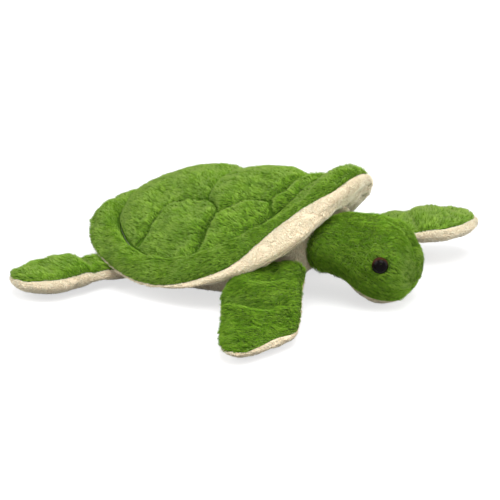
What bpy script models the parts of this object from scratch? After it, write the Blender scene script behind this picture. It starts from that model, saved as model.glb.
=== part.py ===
"""A stuffed plush turtle lying on its belly, nose to -Y, its right side to -X, in metres.

The shell is a quilted cushion that sits on a cream body bag. The head and the four flippers are
stuffed bags of their own. Each ends in a rounded root that sits in a pocket of the body, centred
on the seam that it swings about.
"""
import math

import bmesh
import bpy
import numpy as np
from mathutils import Matrix, Vector

MM = 0.001

# Cloth with its pile, clearances, the reach of a cut past what it cuts, and the merging distance
SKIN = 3.2 * MM
GAP = 0.3 * MM
ROOT_GAP = 0.5 * MM
OVERRUN = 60 * MM
WELD = 0.001 * MM

# Shell: plan outline round its middle, heights of its edge, and its fullness
SHELL_MIDDLE_Y = 26 * MM
SHELL_REAR = 110 * MM
SHELL_FRONT = 124 * MM
SHELL_HALF_WIDTH = 101 * MM
SHELL_EDGE_LOW = 13 * MM
SHELL_EDGE_FRONT = 95 * MM
SHELL_SHEET_MIDDLE = 41 * MM
SHELL_CROWN = 42 * MM
SHELL_LEAN_SHARE = 0.25
SHELL_UNDER = 11 * MM
SHELL_ROLL_SHARE = 0.6
WADDING = 2.4 * MM
FILL_SLACK = 0.9 * MM
CHANNEL_RADIUS = 2.6 * MM
CHANNEL_LIFT = 0.9 * MM

# Body bag under the shell, lying on a flat patch
BODY_MIDDLE_Y = 30 * MM
BODY_REAR = 78 * MM
BODY_FRONT = 114 * MM
BODY_HALF_WIDTH = 79 * MM
BODY_WIDEST_Z = 24 * MM
BODY_TOP_Z = 84 * MM
BODY_TUCK = 10 * MM
BODY_BOW_RISE = 18 * MM
BELLY_PRESS = 0.5 * MM
BELLY_SEAM_Z = 10 * MM

# Head: a rounded neck end and an egg
NECK_STAND = 2.5 * MM
NECK_PIVOT_Z = 42.5 * MM
NECK_HALF_WIDTH = 30 * MM
NECK_HALF_HEIGHT = 21 * MM
HEAD_REACH = 58 * MM
HEAD_HALF_WIDTH = 34 * MM
HEAD_HALF_HEIGHT = 30 * MM
HEAD_PITCH = math.radians(17)
HEAD_TURN = math.radians(7)
CHIN_SEAM_DROP = 20 * MM

# Eyes: domed buttons on stems, held by washers behind the cloth
EYE_RADIUS = 6.0 * MM
EYE_DOME = 4.8 * MM
EYE_SEAT = 1.5 * MM
EYE_ALONG = 39 * MM
EYE_RISE = math.radians(17)
STEM_RADIUS = 2.0 * MM
STEM_LENGTH = 10.0 * MM
WASHER_RADIUS = 6.2 * MM
WASHER_THICK = 1.4 * MM
WASHER_SLACK = 2.2 * MM

# Front flippers: bearing of the root from the rear, round the body's middle
FRONT_BEARING = math.radians(147)
FRONT_ROOT_Z = 18 * MM
FRONT_ROOT_HALF_WIDTH = 26 * MM
FRONT_ROOT_HALF_THICK = 9.5 * MM
FRONT_REACH = 109 * MM
FRONT_HALF_WIDTH = 29 * MM
FRONT_RIGHT_TIP_Z = 9.2 * MM
FRONT_LEFT_TIP_Z = 30 * MM
FRONT_RIGHT_HEADING = math.radians(33)
FRONT_LEFT_HEADING = math.radians(46)

# Rear flippers
REAR_BEARING = math.radians(57)
REAR_ROOT_Z = 8.5 * MM
REAR_ROOT_HALF_WIDTH = 18 * MM
REAR_ROOT_HALF_THICK = 7 * MM
REAR_REACH = 92 * MM
REAR_HALF_WIDTH = 27 * MM
REAR_TIP_Z = 13 * MM
REAR_HEADING = math.radians(-24)
ROOT_STAND = 2.0 * MM

# Outlines every 30 degrees from rear to front: radius shares and edge height shares
SHELL_BLEND_SHARES = (0.0, 0.0, 0.6, 1.0, 0.72, 0.28, 0.0)
SHELL_HEIGHT_SHARES = (0.28, 0.23, 0.10, 0.02, 0.20, 0.54, 1.0)
SHELL_DEPTH_SHARES = (0.8, 0.7, 0.45, 0.8, 1.2, 1.1, 1.0)
SHELL_ROLL_SHARES = (0.0, 0.0, 0.0, 0.25, 0.8, 1.0, 1.0)
# Rings from the middle out: radius share and height share, over and under the seam
SHELL_TOP_SHARES = ((0.0, 1.0), (0.40, 0.90), (0.64, 0.64), (0.80, 0.31), (0.88, 0.35), (0.96, 0.24),
                    (1.0, 0.0))
SHELL_UNDER_SHARES = ((0.0, 1.0), (0.5, 1.0), (0.8, 1.0), (0.9, 0.92), (0.96, 0.68), (0.99, 0.34),
                      (1.0, 0.0))
FILL_TOP_SHARES = ((0.0, 1.0), (0.40, 0.90), (0.64, 0.64), (0.80, 0.31), (0.88, 0.35), (1.0, 0.0))
FILL_UNDER_SHARES = ((0.0, 1.0), (0.5, 1.0), (0.8, 1.0), (0.9, 0.92), (0.96, 0.68), (1.0, 0.0))
RING_SEAM_SHARE = 0.80
SEAM_BLOCK_SHARES = (0.0, 0.40, 0.64, 0.80, 0.90, 1.0, 1.3)
# Quilting seams of one side, as shares of the half width out and of the front length back
SIDE_SEAM_SHARES = (((0.53, 0.17), (0.86, 0.21)),
                    ((0.53, 0.17), (0.43, 0.07), (0.41, -0.10)),
                    ((0.41, -0.10), (0.53, -0.25)),
                    ((0.53, -0.25), (0.84, -0.24)),
                    ((0.53, -0.25), (0.38, -0.41), (0.33, -0.54)),
                    ((0.33, -0.54), (0.48, -0.68)))
MIDDLE_SEAM_SHARES = (((-0.41, -0.10), (0.0, -0.03), (0.41, -0.10)),
                      ((-0.33, -0.54), (0.0, -0.66), (0.33, -0.54)))
BODY_TOP_SHARES = ((0.0, 1.0), (0.5, 1.0), (0.82, 0.95), (0.95, 0.72), (0.99, 0.38), (1.0, 0.0))
BODY_UNDER_SHARES = ((0.0, 1.0), (0.35, 1.0), (0.68, 0.98), (0.88, 0.78), (0.97, 0.42), (1.0, 0.0))
# Stations of a limb past its pivot: reach, half width, sideways shift, half thickness
HEAD_SHARES = ((0.22, 0.91, 0.0, 0.88), (0.47, 1.0, 0.0, 1.0), (0.72, 0.94, 0.0, 0.95),
               (0.89, 0.74, 0.0, 0.76), (0.975, 0.44, 0.0, 0.46), (1.0, 0.0, 0.0, 0.0))
FRONT_SHARES = ((0.24, 0.93, -0.03, 0.96), (0.48, 0.98, -0.14, 0.94), (0.70, 0.94, -0.22, 0.90),
                (0.90, 0.62, -0.36, 0.72), (1.0, 0.0, -0.44, 0.0))
REAR_SHARES = ((0.26, 0.76, 0.0, 1.06), (0.50, 0.94, 0.02, 1.6), (0.74, 0.98, 0.03, 1.6),
               (0.92, 0.68, -0.02, 1.08), (1.0, 0.0, -0.05, 0.0))

# Where the body's front tucks in and its bow rises, round from the rear and out from the middle
TUCK_BEARING = math.radians(150)
BOW_BEARING = math.radians(145)
BOW_START_SHARE = 0.35

# How far a pocket's mouth flares, as a share of its root's half thickness
MOUTH_FLARE_SHARE = 0.45

# Counts of sides and steps
SHELL_SIDES = 20
BODY_SIDES = 16
HEAD_SIDES = 14
FLIPPER_SIDES = 10
POCKET_SIDES = 12
DRUM_SIDES = 10
ROOT_STEPS = 2
POCKET_STEPS = 3
DROOP_STEPS = 3
DOME_STEPS = 6
TURN_STEPS = 16

GREEN = (0.16, 0.34, 0.045)
CREAM = (0.75, 0.66, 0.46)
FILL = (0.86, 0.86, 0.84)
BLACK = (0.012, 0.009, 0.008)
NATURAL = (0.72, 0.70, 0.64)
CLOTH_ROUGHNESS = 0.95
FIBRE_ROUGHNESS = 1.0
EYE_ROUGHNESS = 0.12
WASHER_ROUGHNESS = 0.5


def smooth(value, places, levels):
    """The level at a value on a smooth curve through levels at rising places."""
    places = np.asarray(places, float)
    levels = np.asarray(levels, float)
    slopes = np.gradient(levels, places)
    slopes[0] = 0.0
    slopes[-1] = 0.0
    step = int(np.clip(np.searchsorted(places, value) - 1, 0, len(places) - 2))
    width = places[step + 1] - places[step]
    share = (value - places[step]) / width
    rise = levels[step + 1] - levels[step]
    ease = share * share * (3 - 2 * share)
    lean = share * (1 - share) * width
    turn = slopes[step] * (1 - share) - slopes[step + 1] * share
    return float(levels[step] + rise * ease + lean * turn)


BEARINGS = tuple(math.pi * step / 6 for step in range(7))


def shell_radius(bearing):
    """The shell's plan radius: its side's length blended with its rear's or its front's."""
    side = smooth(bearing, BEARINGS, SHELL_BLEND_SHARES)
    end = SHELL_REAR if bearing < math.pi / 2 else SHELL_FRONT
    return end + (SHELL_HALF_WIDTH - end) * side


def shell_bend(point):
    """Where a point of the flat cushion goes when it is bent.

    It rises with the sheet through the shell's edge, and near the front the edge rolls up, so
    that what is over the seam moves in and what is under it moves out.
    """
    out = Vector((point.x, point.y - SHELL_MIDDLE_Y, 0.0))
    bearing = math.atan2(abs(out.x), out.y)
    share = out.length / shell_radius(bearing)
    height_share = smooth(bearing, BEARINGS, SHELL_HEIGHT_SHARES)
    edge = SHELL_EDGE_LOW + (SHELL_EDGE_FRONT - SHELL_EDGE_LOW) * height_share
    rise = SHELL_SHEET_MIDDLE + (edge - SHELL_SHEET_MIDDLE) * share * share
    roll = SHELL_ROLL_SHARE * smooth(bearing, BEARINGS, SHELL_ROLL_SHARES) * min(1.0, share) ** 4
    shift = -roll * point.z
    moved_out = out.normalized() * shift if share > 0 else Vector()
    return point + moved_out + Vector((0.0, 0.0, rise))


def body_radius(bearing):
    """The body bag's plan radius: an egg, blunt at the rear, drawn out and tucked in at the front."""
    end = BODY_REAR if bearing < math.pi / 2 else BODY_FRONT
    across = math.sin(bearing) / BODY_HALF_WIDTH
    along = math.cos(bearing) / end
    tuck = BODY_TUCK * eased((bearing - TUCK_BEARING) / (math.pi - TUCK_BEARING))
    return 1 / math.hypot(across, along) - tuck


def on_body(bearing, side, stand):
    """A point of the body bag's widest outline, moved out by stand."""
    radius = body_radius(bearing) + stand
    return side * radius * math.sin(bearing), BODY_MIDDLE_Y + radius * math.cos(bearing)


def as_mesh(bm, name):
    """A mesh data-block from a bmesh, which is freed."""
    mesh = bpy.data.meshes.new(name)
    bm.normal_update()
    bm.to_mesh(mesh)
    bm.free()
    return mesh


def ball(sides, rings, place):
    """A ball whose points move to place(turn, ring): turn in radians, ring from top to bottom."""
    bm = bmesh.new()
    bmesh.ops.create_uvsphere(bm, u_segments=sides, v_segments=rings, radius=1.0)
    for point in bm.verts:
        turn = math.atan2(point.co.y, point.co.x)
        ring = round(math.acos(max(-1.0, min(1.0, point.co.z))) * rings / math.pi)
        point.co = place(turn, ring)
    bmesh.ops.triangulate(bm, faces=bm.faces, quad_method='SHORT_EDGE')
    bm.normal_update()
    bmesh.ops.recalc_face_normals(bm, faces=bm.faces)
    return as_mesh(bm, "ball")


def swollen(mesh, distance):
    """A copy with every point moved out along its normal."""
    copy = mesh.copy()
    normals = [point.normal.copy() for point in mesh.vertices]
    for point, normal in zip(copy.vertices, normals):
        point.co += normal * distance
    return copy


def moved(mesh, matrix):
    """A copy turned and moved by a matrix."""
    copy = mesh.copy()
    copy.transform(matrix)
    return copy


def bent(mesh, bend):
    """The mesh itself, with every point moved to bend(point)."""
    for point in mesh.vertices:
        point.co = bend(point.co.copy())
    mesh.update()
    return mesh


def slab(low, high, strips=()):
    """A wide block between two heights, parted at places along X so that it can be bent."""
    bm = bmesh.new()
    bmesh.ops.create_cube(bm, size=1.0)
    reach = 2 * (SHELL_REAR + SHELL_FRONT)
    for point in bm.verts:
        point.co.x *= reach
        point.co.y *= reach
        point.co.z = high if point.co.z > 0 else low
    for strip in strips:
        whole = [*bm.verts, *bm.edges, *bm.faces]
        bmesh.ops.bisect_plane(bm, geom=whole, plane_co=(strip, 0.0, 0.0), plane_no=(1.0, 0.0, 0.0))
    return as_mesh(bm, "slab")


def drum(radius, low, high):
    """A pin along Z between two heights, whose flat sides clear the radius."""
    bm = bmesh.new()
    reach = radius / math.cos(math.pi / DRUM_SIDES)
    bmesh.ops.create_cone(bm, cap_ends=True, segments=DRUM_SIDES, radius1=reach, radius2=reach, depth=1.0)
    for point in bm.verts:
        point.co.z = high if point.co.z > 0 else low
    return as_mesh(bm, "drum")


def ring_drum(inset):
    """An upright block whose outline is the ring seam, less an inset."""
    bm = bmesh.new()
    bmesh.ops.create_cone(bm, cap_ends=True, segments=SHELL_SIDES, radius1=1.0, radius2=1.0,
                          depth=4 * OVERRUN)
    for point in bm.verts:
        turn = math.atan2(point.co.x, point.co.y)
        radius = shell_radius(abs(turn)) * RING_SEAM_SHARE - inset
        point.co.x = radius * math.sin(turn)
        point.co.y = SHELL_MIDDLE_Y + radius * math.cos(turn)
    bm.normal_update()
    bmesh.ops.recalc_face_normals(bm, faces=bm.faces)
    return as_mesh(bm, "ring")


def carve(mesh, cutters, operation='DIFFERENCE'):
    """The mesh less all the cutters at once, or what it shares with them."""
    work = bpy.data.objects.new("carved", mesh)
    tools = bpy.data.collections.new("tools")
    CUTTERS.objects.link(work)
    CUTTERS.children.link(tools)
    for cutter in cutters:
        helper = bpy.data.objects.new("cutter", cutter)
        helper.hide_render = True
        helper.display_type = 'WIRE'
        tools.objects.link(helper)
    cut = work.modifiers.new("cut", 'BOOLEAN')
    cut.operation = operation
    cut.operand_type = 'COLLECTION'
    cut.collection = tools
    graph = bpy.context.evaluated_depsgraph_get()
    graph.update()
    result = bpy.data.meshes.new_from_object(work.evaluated_get(graph))
    for item in [work, *tools.objects]:
        bpy.data.objects.remove(item, do_unlink=True)
    bpy.data.collections.remove(tools)
    bm = bmesh.new()
    bm.from_mesh(result)
    bmesh.ops.remove_doubles(bm, verts=bm.verts, dist=WELD)
    bmesh.ops.dissolve_degenerate(bm, edges=bm.edges, dist=WELD)
    return as_mesh(bm, "carved")


def finish(name, colour, roughness):
    """A plain material of one colour, with no metal in it."""
    material = bpy.data.materials.new(name)
    material.use_nodes = True
    surface = material.node_tree.nodes["Principled BSDF"]
    surface.inputs["Base Color"].default_value = (*colour, 1.0)
    surface.inputs["Roughness"].default_value = roughness
    surface.inputs["Metallic"].default_value = 0.0
    return material


def piece(name, mesh, material, holder=None):
    """A named solid of the turtle, held by an empty where it swings."""
    thing = bpy.data.objects.new(name, mesh)
    TURTLE.objects.link(thing)
    mesh.materials.clear()
    mesh.materials.append(material)
    thing.parent = holder
    return thing


def pivot(name, matrix):
    """An empty on a seam that a limb swings about."""
    empty = bpy.data.objects.new(name, None)
    empty.matrix_world = matrix
    TURTLE.objects.link(empty)
    return empty


def shell_ball(over_shares=SHELL_TOP_SHARES, under_shares=SHELL_UNDER_SHARES):
    """The whole shell cushion, laid flat."""
    steps = len(over_shares) - 1

    def place(turn, ring):
        over = ring <= steps
        share, height = over_shares[ring] if over else under_shares[2 * steps - ring]
        radius = shell_radius(abs(turn)) * share
        lean = 1 - SHELL_LEAN_SHARE * share * math.cos(turn)
        depth = SHELL_UNDER * smooth(abs(turn), BEARINGS, SHELL_DEPTH_SHARES)
        z = SHELL_CROWN * height * lean if over else -depth * height
        return Vector((radius * math.sin(turn), SHELL_MIDDLE_Y + radius * math.cos(turn), z))

    return ball(SHELL_SIDES, 2 * steps, place)


def seam_block(level, reach):
    """A block with one face along the seam through the shell's edge, at a level from it.

    The rest of the block lies above that face, or below it where the reach is negative.
    """
    steps = len(SEAM_BLOCK_SHARES) - 1

    def place(turn, ring):
        on_face = ring <= steps
        share = SEAM_BLOCK_SHARES[ring if on_face else 2 * steps - ring]
        radius = shell_radius(abs(turn)) * share
        flat = Vector((radius * math.sin(turn), SHELL_MIDDLE_Y + radius * math.cos(turn), level))
        return shell_bend(flat) + Vector((0.0, 0.0, 0.0 if on_face else reach))

    return ball(SHELL_SIDES, 2 * steps, place)


def shell_layer(depth):
    """The shell's outside, moved in by a depth, bent to its shape."""
    return bent(swollen(shell_ball(), -depth), shell_bend)


def wadding_layer(depth):
    """The same, with a plainer edge that a greater depth doesn't fold over."""
    return bent(swollen(shell_ball(FILL_TOP_SHARES, FILL_UNDER_SHARES), -depth), shell_bend)


def shell_filling():
    """What fills the cushion: up to the wadding on top, and up to the cloth elsewhere."""
    flat = shell_ball(FILL_TOP_SHARES, FILL_UNDER_SHARES)
    normals = [point.normal.copy() for point in flat.vertices]
    for point, normal in zip(flat.vertices, normals):
        depth = SKIN + GAP + WADDING + GAP if point.co.z > 0 else SKIN + FILL_SLACK
        point.co -= normal * depth
    return bent(flat, shell_bend)


def shell_room(clearance):
    """The shell with a clearance all round, drawn up without end, to cut what lies under it."""
    flat = swollen(shell_ball(), clearance)
    tall = [point.index for point in flat.vertices if point.co.z > clearance]
    room = bent(flat, shell_bend)
    for index in tall:
        room.vertices[index].co.z += OVERRUN
    return room


def on_shell(across_share, back_share):
    """A point on top of the flat cushion, at shares of its half width and of its front length."""
    out = Vector((SHELL_HALF_WIDTH * across_share, SHELL_FRONT * back_share, 0.0))
    bearing = math.atan2(abs(out.x), out.y)
    share = out.length / shell_radius(bearing)
    shares = [level[0] for level in SHELL_TOP_SHARES]
    heights = [level[1] for level in SHELL_TOP_SHARES]
    lean = 1 - SHELL_LEAN_SHARE * share * math.cos(bearing)
    height = SHELL_CROWN * float(np.interp(share, shares, heights)) * lean
    return Vector((out.x, SHELL_MIDDLE_Y + out.y, height + CHANNEL_LIFT))


def tube(points, radius):
    """A four-sided tube along a line of points, run on past both its ends by half its radius."""
    first = (points[0] - points[1]).normalized() * radius / 2
    last = (points[-1] - points[-2]).normalized() * radius / 2
    route = [points[0] + first, *points[1:-1], points[-1] + last]
    line = bpy.data.curves.new("seam", 'CURVE')
    line.dimensions = '3D'
    line.bevel_depth = radius
    line.bevel_resolution = 0
    line.use_fill_caps = True
    spline = line.splines.new('POLY')
    spline.points.add(len(route) - 1)
    for spot, point in zip(spline.points, route):
        spot.co = (*point, 1.0)
    holder = bpy.data.objects.new("seam", line)
    CUTTERS.objects.link(holder)
    graph = bpy.context.evaluated_depsgraph_get()
    graph.update()
    result = bpy.data.meshes.new_from_object(holder.evaluated_get(graph))
    bpy.data.objects.remove(holder, do_unlink=True)
    bm = bmesh.new()
    bm.from_mesh(result)
    bmesh.ops.remove_doubles(bm, verts=bm.verts, dist=WELD)
    return as_mesh(bm, "tube")


def quilting():
    """The tubes that press the sewn channels between the scutes into the shell's top."""
    seams = list(MIDDLE_SEAM_SHARES)
    for side in (-1, 1):
        seams += [tuple((side * across, back) for across, back in seam) for seam in SIDE_SEAM_SHARES]
    return [tube([shell_bend(on_shell(across, back)) for across, back in seam], CHANNEL_RADIUS)
            for seam in seams]


def body_ball():
    """The whole body bag, before the shell and the limbs are let into it."""
    steps = len(BODY_TOP_SHARES) - 1

    def place(turn, ring):
        over = ring <= steps
        share, height = BODY_TOP_SHARES[ring] if over else BODY_UNDER_SHARES[2 * steps - ring]
        radius = body_radius(abs(turn)) * share
        rise = (BODY_TOP_Z - BODY_WIDEST_Z) * height
        drop = (BODY_WIDEST_Z + BELLY_PRESS) * height
        bow = BODY_BOW_RISE * eased((abs(turn) - BOW_BEARING) / (math.pi - BOW_BEARING))
        bow *= eased((share - BOW_START_SHARE) / (1 - BOW_START_SHARE))
        z = BODY_WIDEST_Z + (rise if over else -drop) + bow
        return Vector((radius * math.sin(turn), BODY_MIDDLE_Y + radius * math.cos(turn), z))

    return ball(BODY_SIDES, 2 * steps, place)


def limb_ball(sides, root_half_width, root_half_thick, reach, half_width, half_thick, shares, hand):
    """A limb along +X: a rounded root behind its pivot, then its stations out to the tip.

    Behind the pivot the root is half of a ball drawn out along Y, so that it turns in its
    pocket about Y. The hand, 1 or -1, says to which side the outline shifts.
    """
    steps = ROOT_STEPS + len(shares)

    def place(turn, ring):
        ring = steps - ring
        if ring <= ROOT_STEPS:
            angle = math.pi / 2 * ring / ROOT_STEPS
            along = -root_half_thick * math.cos(angle)
            width = root_half_width * math.sin(angle)
            thick = root_half_thick * math.sin(angle)
            shift = 0.0
        else:
            place_share, width_share, shift_share, thick_share = shares[ring - ROOT_STEPS - 1]
            along = reach * place_share
            width = half_width * width_share
            thick = half_thick * thick_share
            shift = half_width * shift_share
        return Vector((along, hand * shift + width * math.cos(turn), thick * math.sin(turn)))

    return ball(sides, steps, place)


def root_pocket(half_width, half_thick):
    """The hollow that a root swings in: half a ball about the pivot, and a mouth that flares out.

    Its flat facets stand outside the true ball, so that the root clears them at any angle.
    """
    steps = POCKET_STEPS + 2
    round_out = 1 / (math.cos(math.pi / POCKET_SIDES) * math.cos(math.pi / 4 / POCKET_STEPS))
    across = (half_width + ROOT_GAP) * round_out
    through = (half_thick + ROOT_GAP) * round_out
    flare = half_thick * MOUTH_FLARE_SHARE

    def place(turn, ring):
        ring = steps - ring
        angle = math.pi / 2 * min(1.0, ring / POCKET_STEPS)
        wide = across * math.sin(angle)
        high = through * math.sin(angle)
        along = -through * math.cos(angle)
        if ring > POCKET_STEPS:
            along = half_thick
            wide = (across + flare) if ring < steps else 0.0
            high = (through + flare) if ring < steps else 0.0
        return Vector((along, wide * math.cos(turn), high * math.sin(turn)))

    return ball(POCKET_SIDES, steps, place)


def halves(outer, below, above):
    """Top skin, under skin and stuffing of a bag, parted by the blocks below and above its seam."""
    inner = swollen(outer, -SKIN)
    top = carve(outer, [inner, below])
    under = carve(outer, [inner, above])
    return top, under, swollen(outer, -(SKIN + GAP))


def limb_matrix(x, y, z, side, heading):
    """Places a limb: +X points out from the body, turned towards the nose by its heading."""
    turn = -heading if side > 0 else math.pi + heading
    return Matrix.Translation((x, y, z)) @ Matrix.Rotation(turn, 4, 'Z')


def eased(share):
    """0 to 1 with level ends."""
    share = max(0.0, min(1.0, share))
    return share * share * (3 - 2 * share)


def flipper(name, side, bearing, root_z, root_width, root_thick, reach, width, tip_z, heading, shares):
    """One flipper's three pieces on their pivot, and the pocket that its root needs."""
    x, y = on_body(bearing, side, ROOT_STAND)
    matrix = limb_matrix(x, y, root_z, side, heading)
    hand = 1 if side < 0 else -1
    bag = limb_ball(FLIPPER_SIDES, root_width, root_thick, reach, width, root_thick, shares, hand)

    def droop(point):
        return point + Vector((0.0, 0.0, (tip_z - root_z) * eased(point.x / (reach / 2))))

    strips = [reach / 2 * step / DROOP_STEPS for step in range(DROOP_STEPS + 1)]
    below = bent(slab(-OVERRUN, GAP / 2, strips), droop)
    above = bent(slab(-GAP / 2, OVERRUN, strips), droop)
    top, under, fill = halves(bent(bag, droop), below, above)
    seam = pivot(name + "_seam", matrix)
    piece(name + "_top", top, finish(name + "_top_plush", GREEN, CLOTH_ROUGHNESS), seam)
    piece(name + "_under", under, finish(name + "_under_plush", CREAM, CLOTH_ROUGHNESS), seam)
    piece(name + "_stuffing", fill, finish(name + "_fibre", FILL, FIBRE_ROUGHNESS), seam)
    return moved(root_pocket(root_width, root_thick), matrix)


def turned(name, profile, closed):
    """A solid turned about Z from a profile of radius and height, by a Screw modifier."""
    bm = bmesh.new()
    points = [bm.verts.new((radius, 0.0, height)) for radius, height in profile]
    for start, end in zip(points, points[1:]):
        bm.edges.new((start, end))
    if closed:
        bm.edges.new((points[-1], points[0]))
    thing = bpy.data.objects.new(name, as_mesh(bm, name))
    screw = thing.modifiers.new("turn", 'SCREW')
    screw.axis = 'Z'
    screw.steps = TURN_STEPS
    screw.render_steps = TURN_STEPS
    screw.use_merge_vertices = True
    screw.merge_threshold = WELD
    return thing


def eye_matrix(side):
    """Where an eye sits on the head, in the head's own frame, its Z square to the cloth."""
    places = [0.0] + [HEAD_REACH * share[0] for share in HEAD_SHARES]
    widths = [NECK_HALF_WIDTH] + [HEAD_HALF_WIDTH * share[1] for share in HEAD_SHARES]
    heights = [NECK_HALF_HEIGHT] + [HEAD_HALF_HEIGHT * share[3] for share in HEAD_SHARES]
    half_width = np.interp([EYE_ALONG - EYE_RADIUS, EYE_ALONG, EYE_ALONG + EYE_RADIUS], places, widths)
    half_height = np.interp([EYE_ALONG - EYE_RADIUS, EYE_ALONG, EYE_ALONG + EYE_RADIUS], places, heights)
    across = side * math.cos(EYE_RISE)
    up = math.sin(EYE_RISE)
    middle = Vector((EYE_ALONG, across * half_width[1], up * half_height[1]))
    forward = Vector((2 * EYE_RADIUS, across * (half_width[2] - half_width[0]),
                      up * (half_height[2] - half_height[0])))
    around = Vector((0.0, -side * up * half_width[1], math.cos(EYE_RISE) * half_height[1]))
    out = around.cross(forward) * side
    return Matrix.Translation(middle) @ out.to_track_quat('Z', 'Y').to_matrix().to_4x4()


def make_head():
    """Head skins, stuffing, eyes and washers on the neck's pivot; returns the neck's pocket."""
    y = BODY_MIDDLE_Y - BODY_FRONT - NECK_STAND
    matrix = (Matrix.Translation((0.0, y, NECK_PIVOT_Z)) @ Matrix.Rotation(HEAD_TURN - math.pi / 2, 4, 'Z')
              @ Matrix.Rotation(HEAD_PITCH, 4, 'Y'))
    bag = limb_ball(HEAD_SIDES, NECK_HALF_WIDTH, NECK_HALF_HEIGHT, HEAD_REACH, HEAD_HALF_WIDTH,
                    HEAD_HALF_HEIGHT, HEAD_SHARES, 1)
    below = slab(-OVERRUN, GAP / 2 - CHIN_SEAM_DROP)
    above = slab(-GAP / 2 - CHIN_SEAM_DROP, OVERRUN)
    cap, chin, fill = halves(bag, below, above)
    seat = -(SKIN + WASHER_SLACK)
    neck = pivot("neck_seam", matrix)
    for side, word in ((-1, "right"), (1, "left")):
        place = eye_matrix(side)
        stem_hole = moved(drum(STEM_RADIUS + GAP, -OVERRUN / 4, OVERRUN / 4), place)
        eye_hole = moved(drum(EYE_RADIUS + GAP, -EYE_SEAT, OVERRUN / 4), place)
        washer_hole = moved(drum(WASHER_RADIUS + GAP, -STEM_LENGTH - GAP, 0.0), place)
        cap = carve(cap, [stem_hole, eye_hole])
        fill = carve(fill, [washer_hole])
        base = GAP - EYE_SEAT
        rises = [math.pi / 2 * step / DOME_STEPS for step in range(DOME_STEPS + 1)]
        button = [(EYE_RADIUS * math.sin(rise), base + EYE_DOME * math.cos(rise)) for rise in rises]
        eye = turned("eye_" + word, button + [(STEM_RADIUS, base), (STEM_RADIUS, -STEM_LENGTH),
                                              (0.0, -STEM_LENGTH)], False)
        rim = STEM_RADIUS + GAP
        washer = turned("eye_washer_" + word, [(WASHER_RADIUS, seat), (WASHER_RADIUS, seat - WASHER_THICK),
                                               (rim, seat - WASHER_THICK), (rim, seat)], True)
        for thing, look in ((eye, finish("eye_gloss_" + word, BLACK, EYE_ROUGHNESS)),
                            (washer, finish("washer_" + word, NATURAL, WASHER_ROUGHNESS))):
            TURTLE.objects.link(thing)
            thing.data.materials.append(look)
            thing.parent = neck
            thing.matrix_local = place
    right = carve(cap, [moved(slab(-OVERRUN, OVERRUN), side_cut(1))])
    left = carve(cap, [moved(slab(-OVERRUN, OVERRUN), side_cut(-1))])
    piece("head_right", right, finish("head_right_plush", GREEN, CLOTH_ROUGHNESS), neck)
    piece("head_left", left, finish("head_left_plush", GREEN, CLOTH_ROUGHNESS), neck)
    piece("chin_panel", chin, finish("chin_plush", CREAM, CLOTH_ROUGHNESS), neck)
    piece("head_stuffing", fill, finish("head_fibre", FILL, FIBRE_ROUGHNESS), neck)
    return moved(root_pocket(NECK_HALF_WIDTH, NECK_HALF_HEIGHT), matrix)


def side_cut(side):
    """Stands a level slab on edge, on one side of the head's middle plane."""
    shift = side * (OVERRUN - GAP / 2)
    return Matrix.Translation((0.0, shift, 0.0)) @ Matrix.Rotation(math.pi / 2, 4, 'X')


def make_shell():
    """The five pieces of the shell."""
    below_seam = seam_block(GAP / 2, -OVERRUN)
    cloth = shell_layer(SKIN)
    top = carve(shell_layer(0.0), [ring_drum(GAP / 2)], 'INTERSECT')
    top = carve(top, [cloth, below_seam, *quilting()])
    rim = carve(shell_layer(0.0), [cloth, below_seam, ring_drum(-GAP / 2)])
    under = carve(shell_layer(0.0), [cloth, seam_block(-GAP / 2, OVERRUN)])
    wadding = carve(wadding_layer(SKIN + GAP), [ring_drum(SKIN)], 'INTERSECT')
    wadding = carve(wadding, [wadding_layer(SKIN + GAP + WADDING), seam_block(SKIN, -OVERRUN)])
    fill = shell_filling()
    piece("shell_top", top, finish("shell_top_plush", GREEN, CLOTH_ROUGHNESS))
    piece("shell_rim", rim, finish("shell_rim_plush", GREEN, CLOTH_ROUGHNESS))
    piece("shell_underside", under, finish("shell_underside_plush", CREAM, CLOTH_ROUGHNESS))
    piece("shell_wadding", wadding, finish("shell_wadding_fibre", FILL, FIBRE_ROUGHNESS))
    piece("shell_stuffing", fill, finish("shell_fibre", FILL, FIBRE_ROUGHNESS))


def make_body(pockets):
    """Wall, belly panel and stuffing of the body bag, cut by the shell and by the roots."""
    bag = body_ball()
    room = shell_room(2 * GAP)
    inner = swollen(bag, -SKIN)
    wall = carve(bag, [inner, slab(-OVERRUN, BELLY_SEAM_Z + GAP / 2), room, *pockets])
    belly = carve(bag, [inner, slab(-OVERRUN, 0.0), slab(BELLY_SEAM_Z - GAP / 2, 3 * OVERRUN), *pockets])
    fill = carve(swollen(bag, -(SKIN + GAP)), [room, *pockets])
    piece("body_wall", wall, finish("body_wall_plush", CREAM, CLOTH_ROUGHNESS))
    piece("belly_panel", belly, finish("belly_plush", CREAM, CLOTH_ROUGHNESS))
    piece("body_stuffing", fill, finish("body_fibre", FILL, FIBRE_ROUGHNESS))


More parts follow.
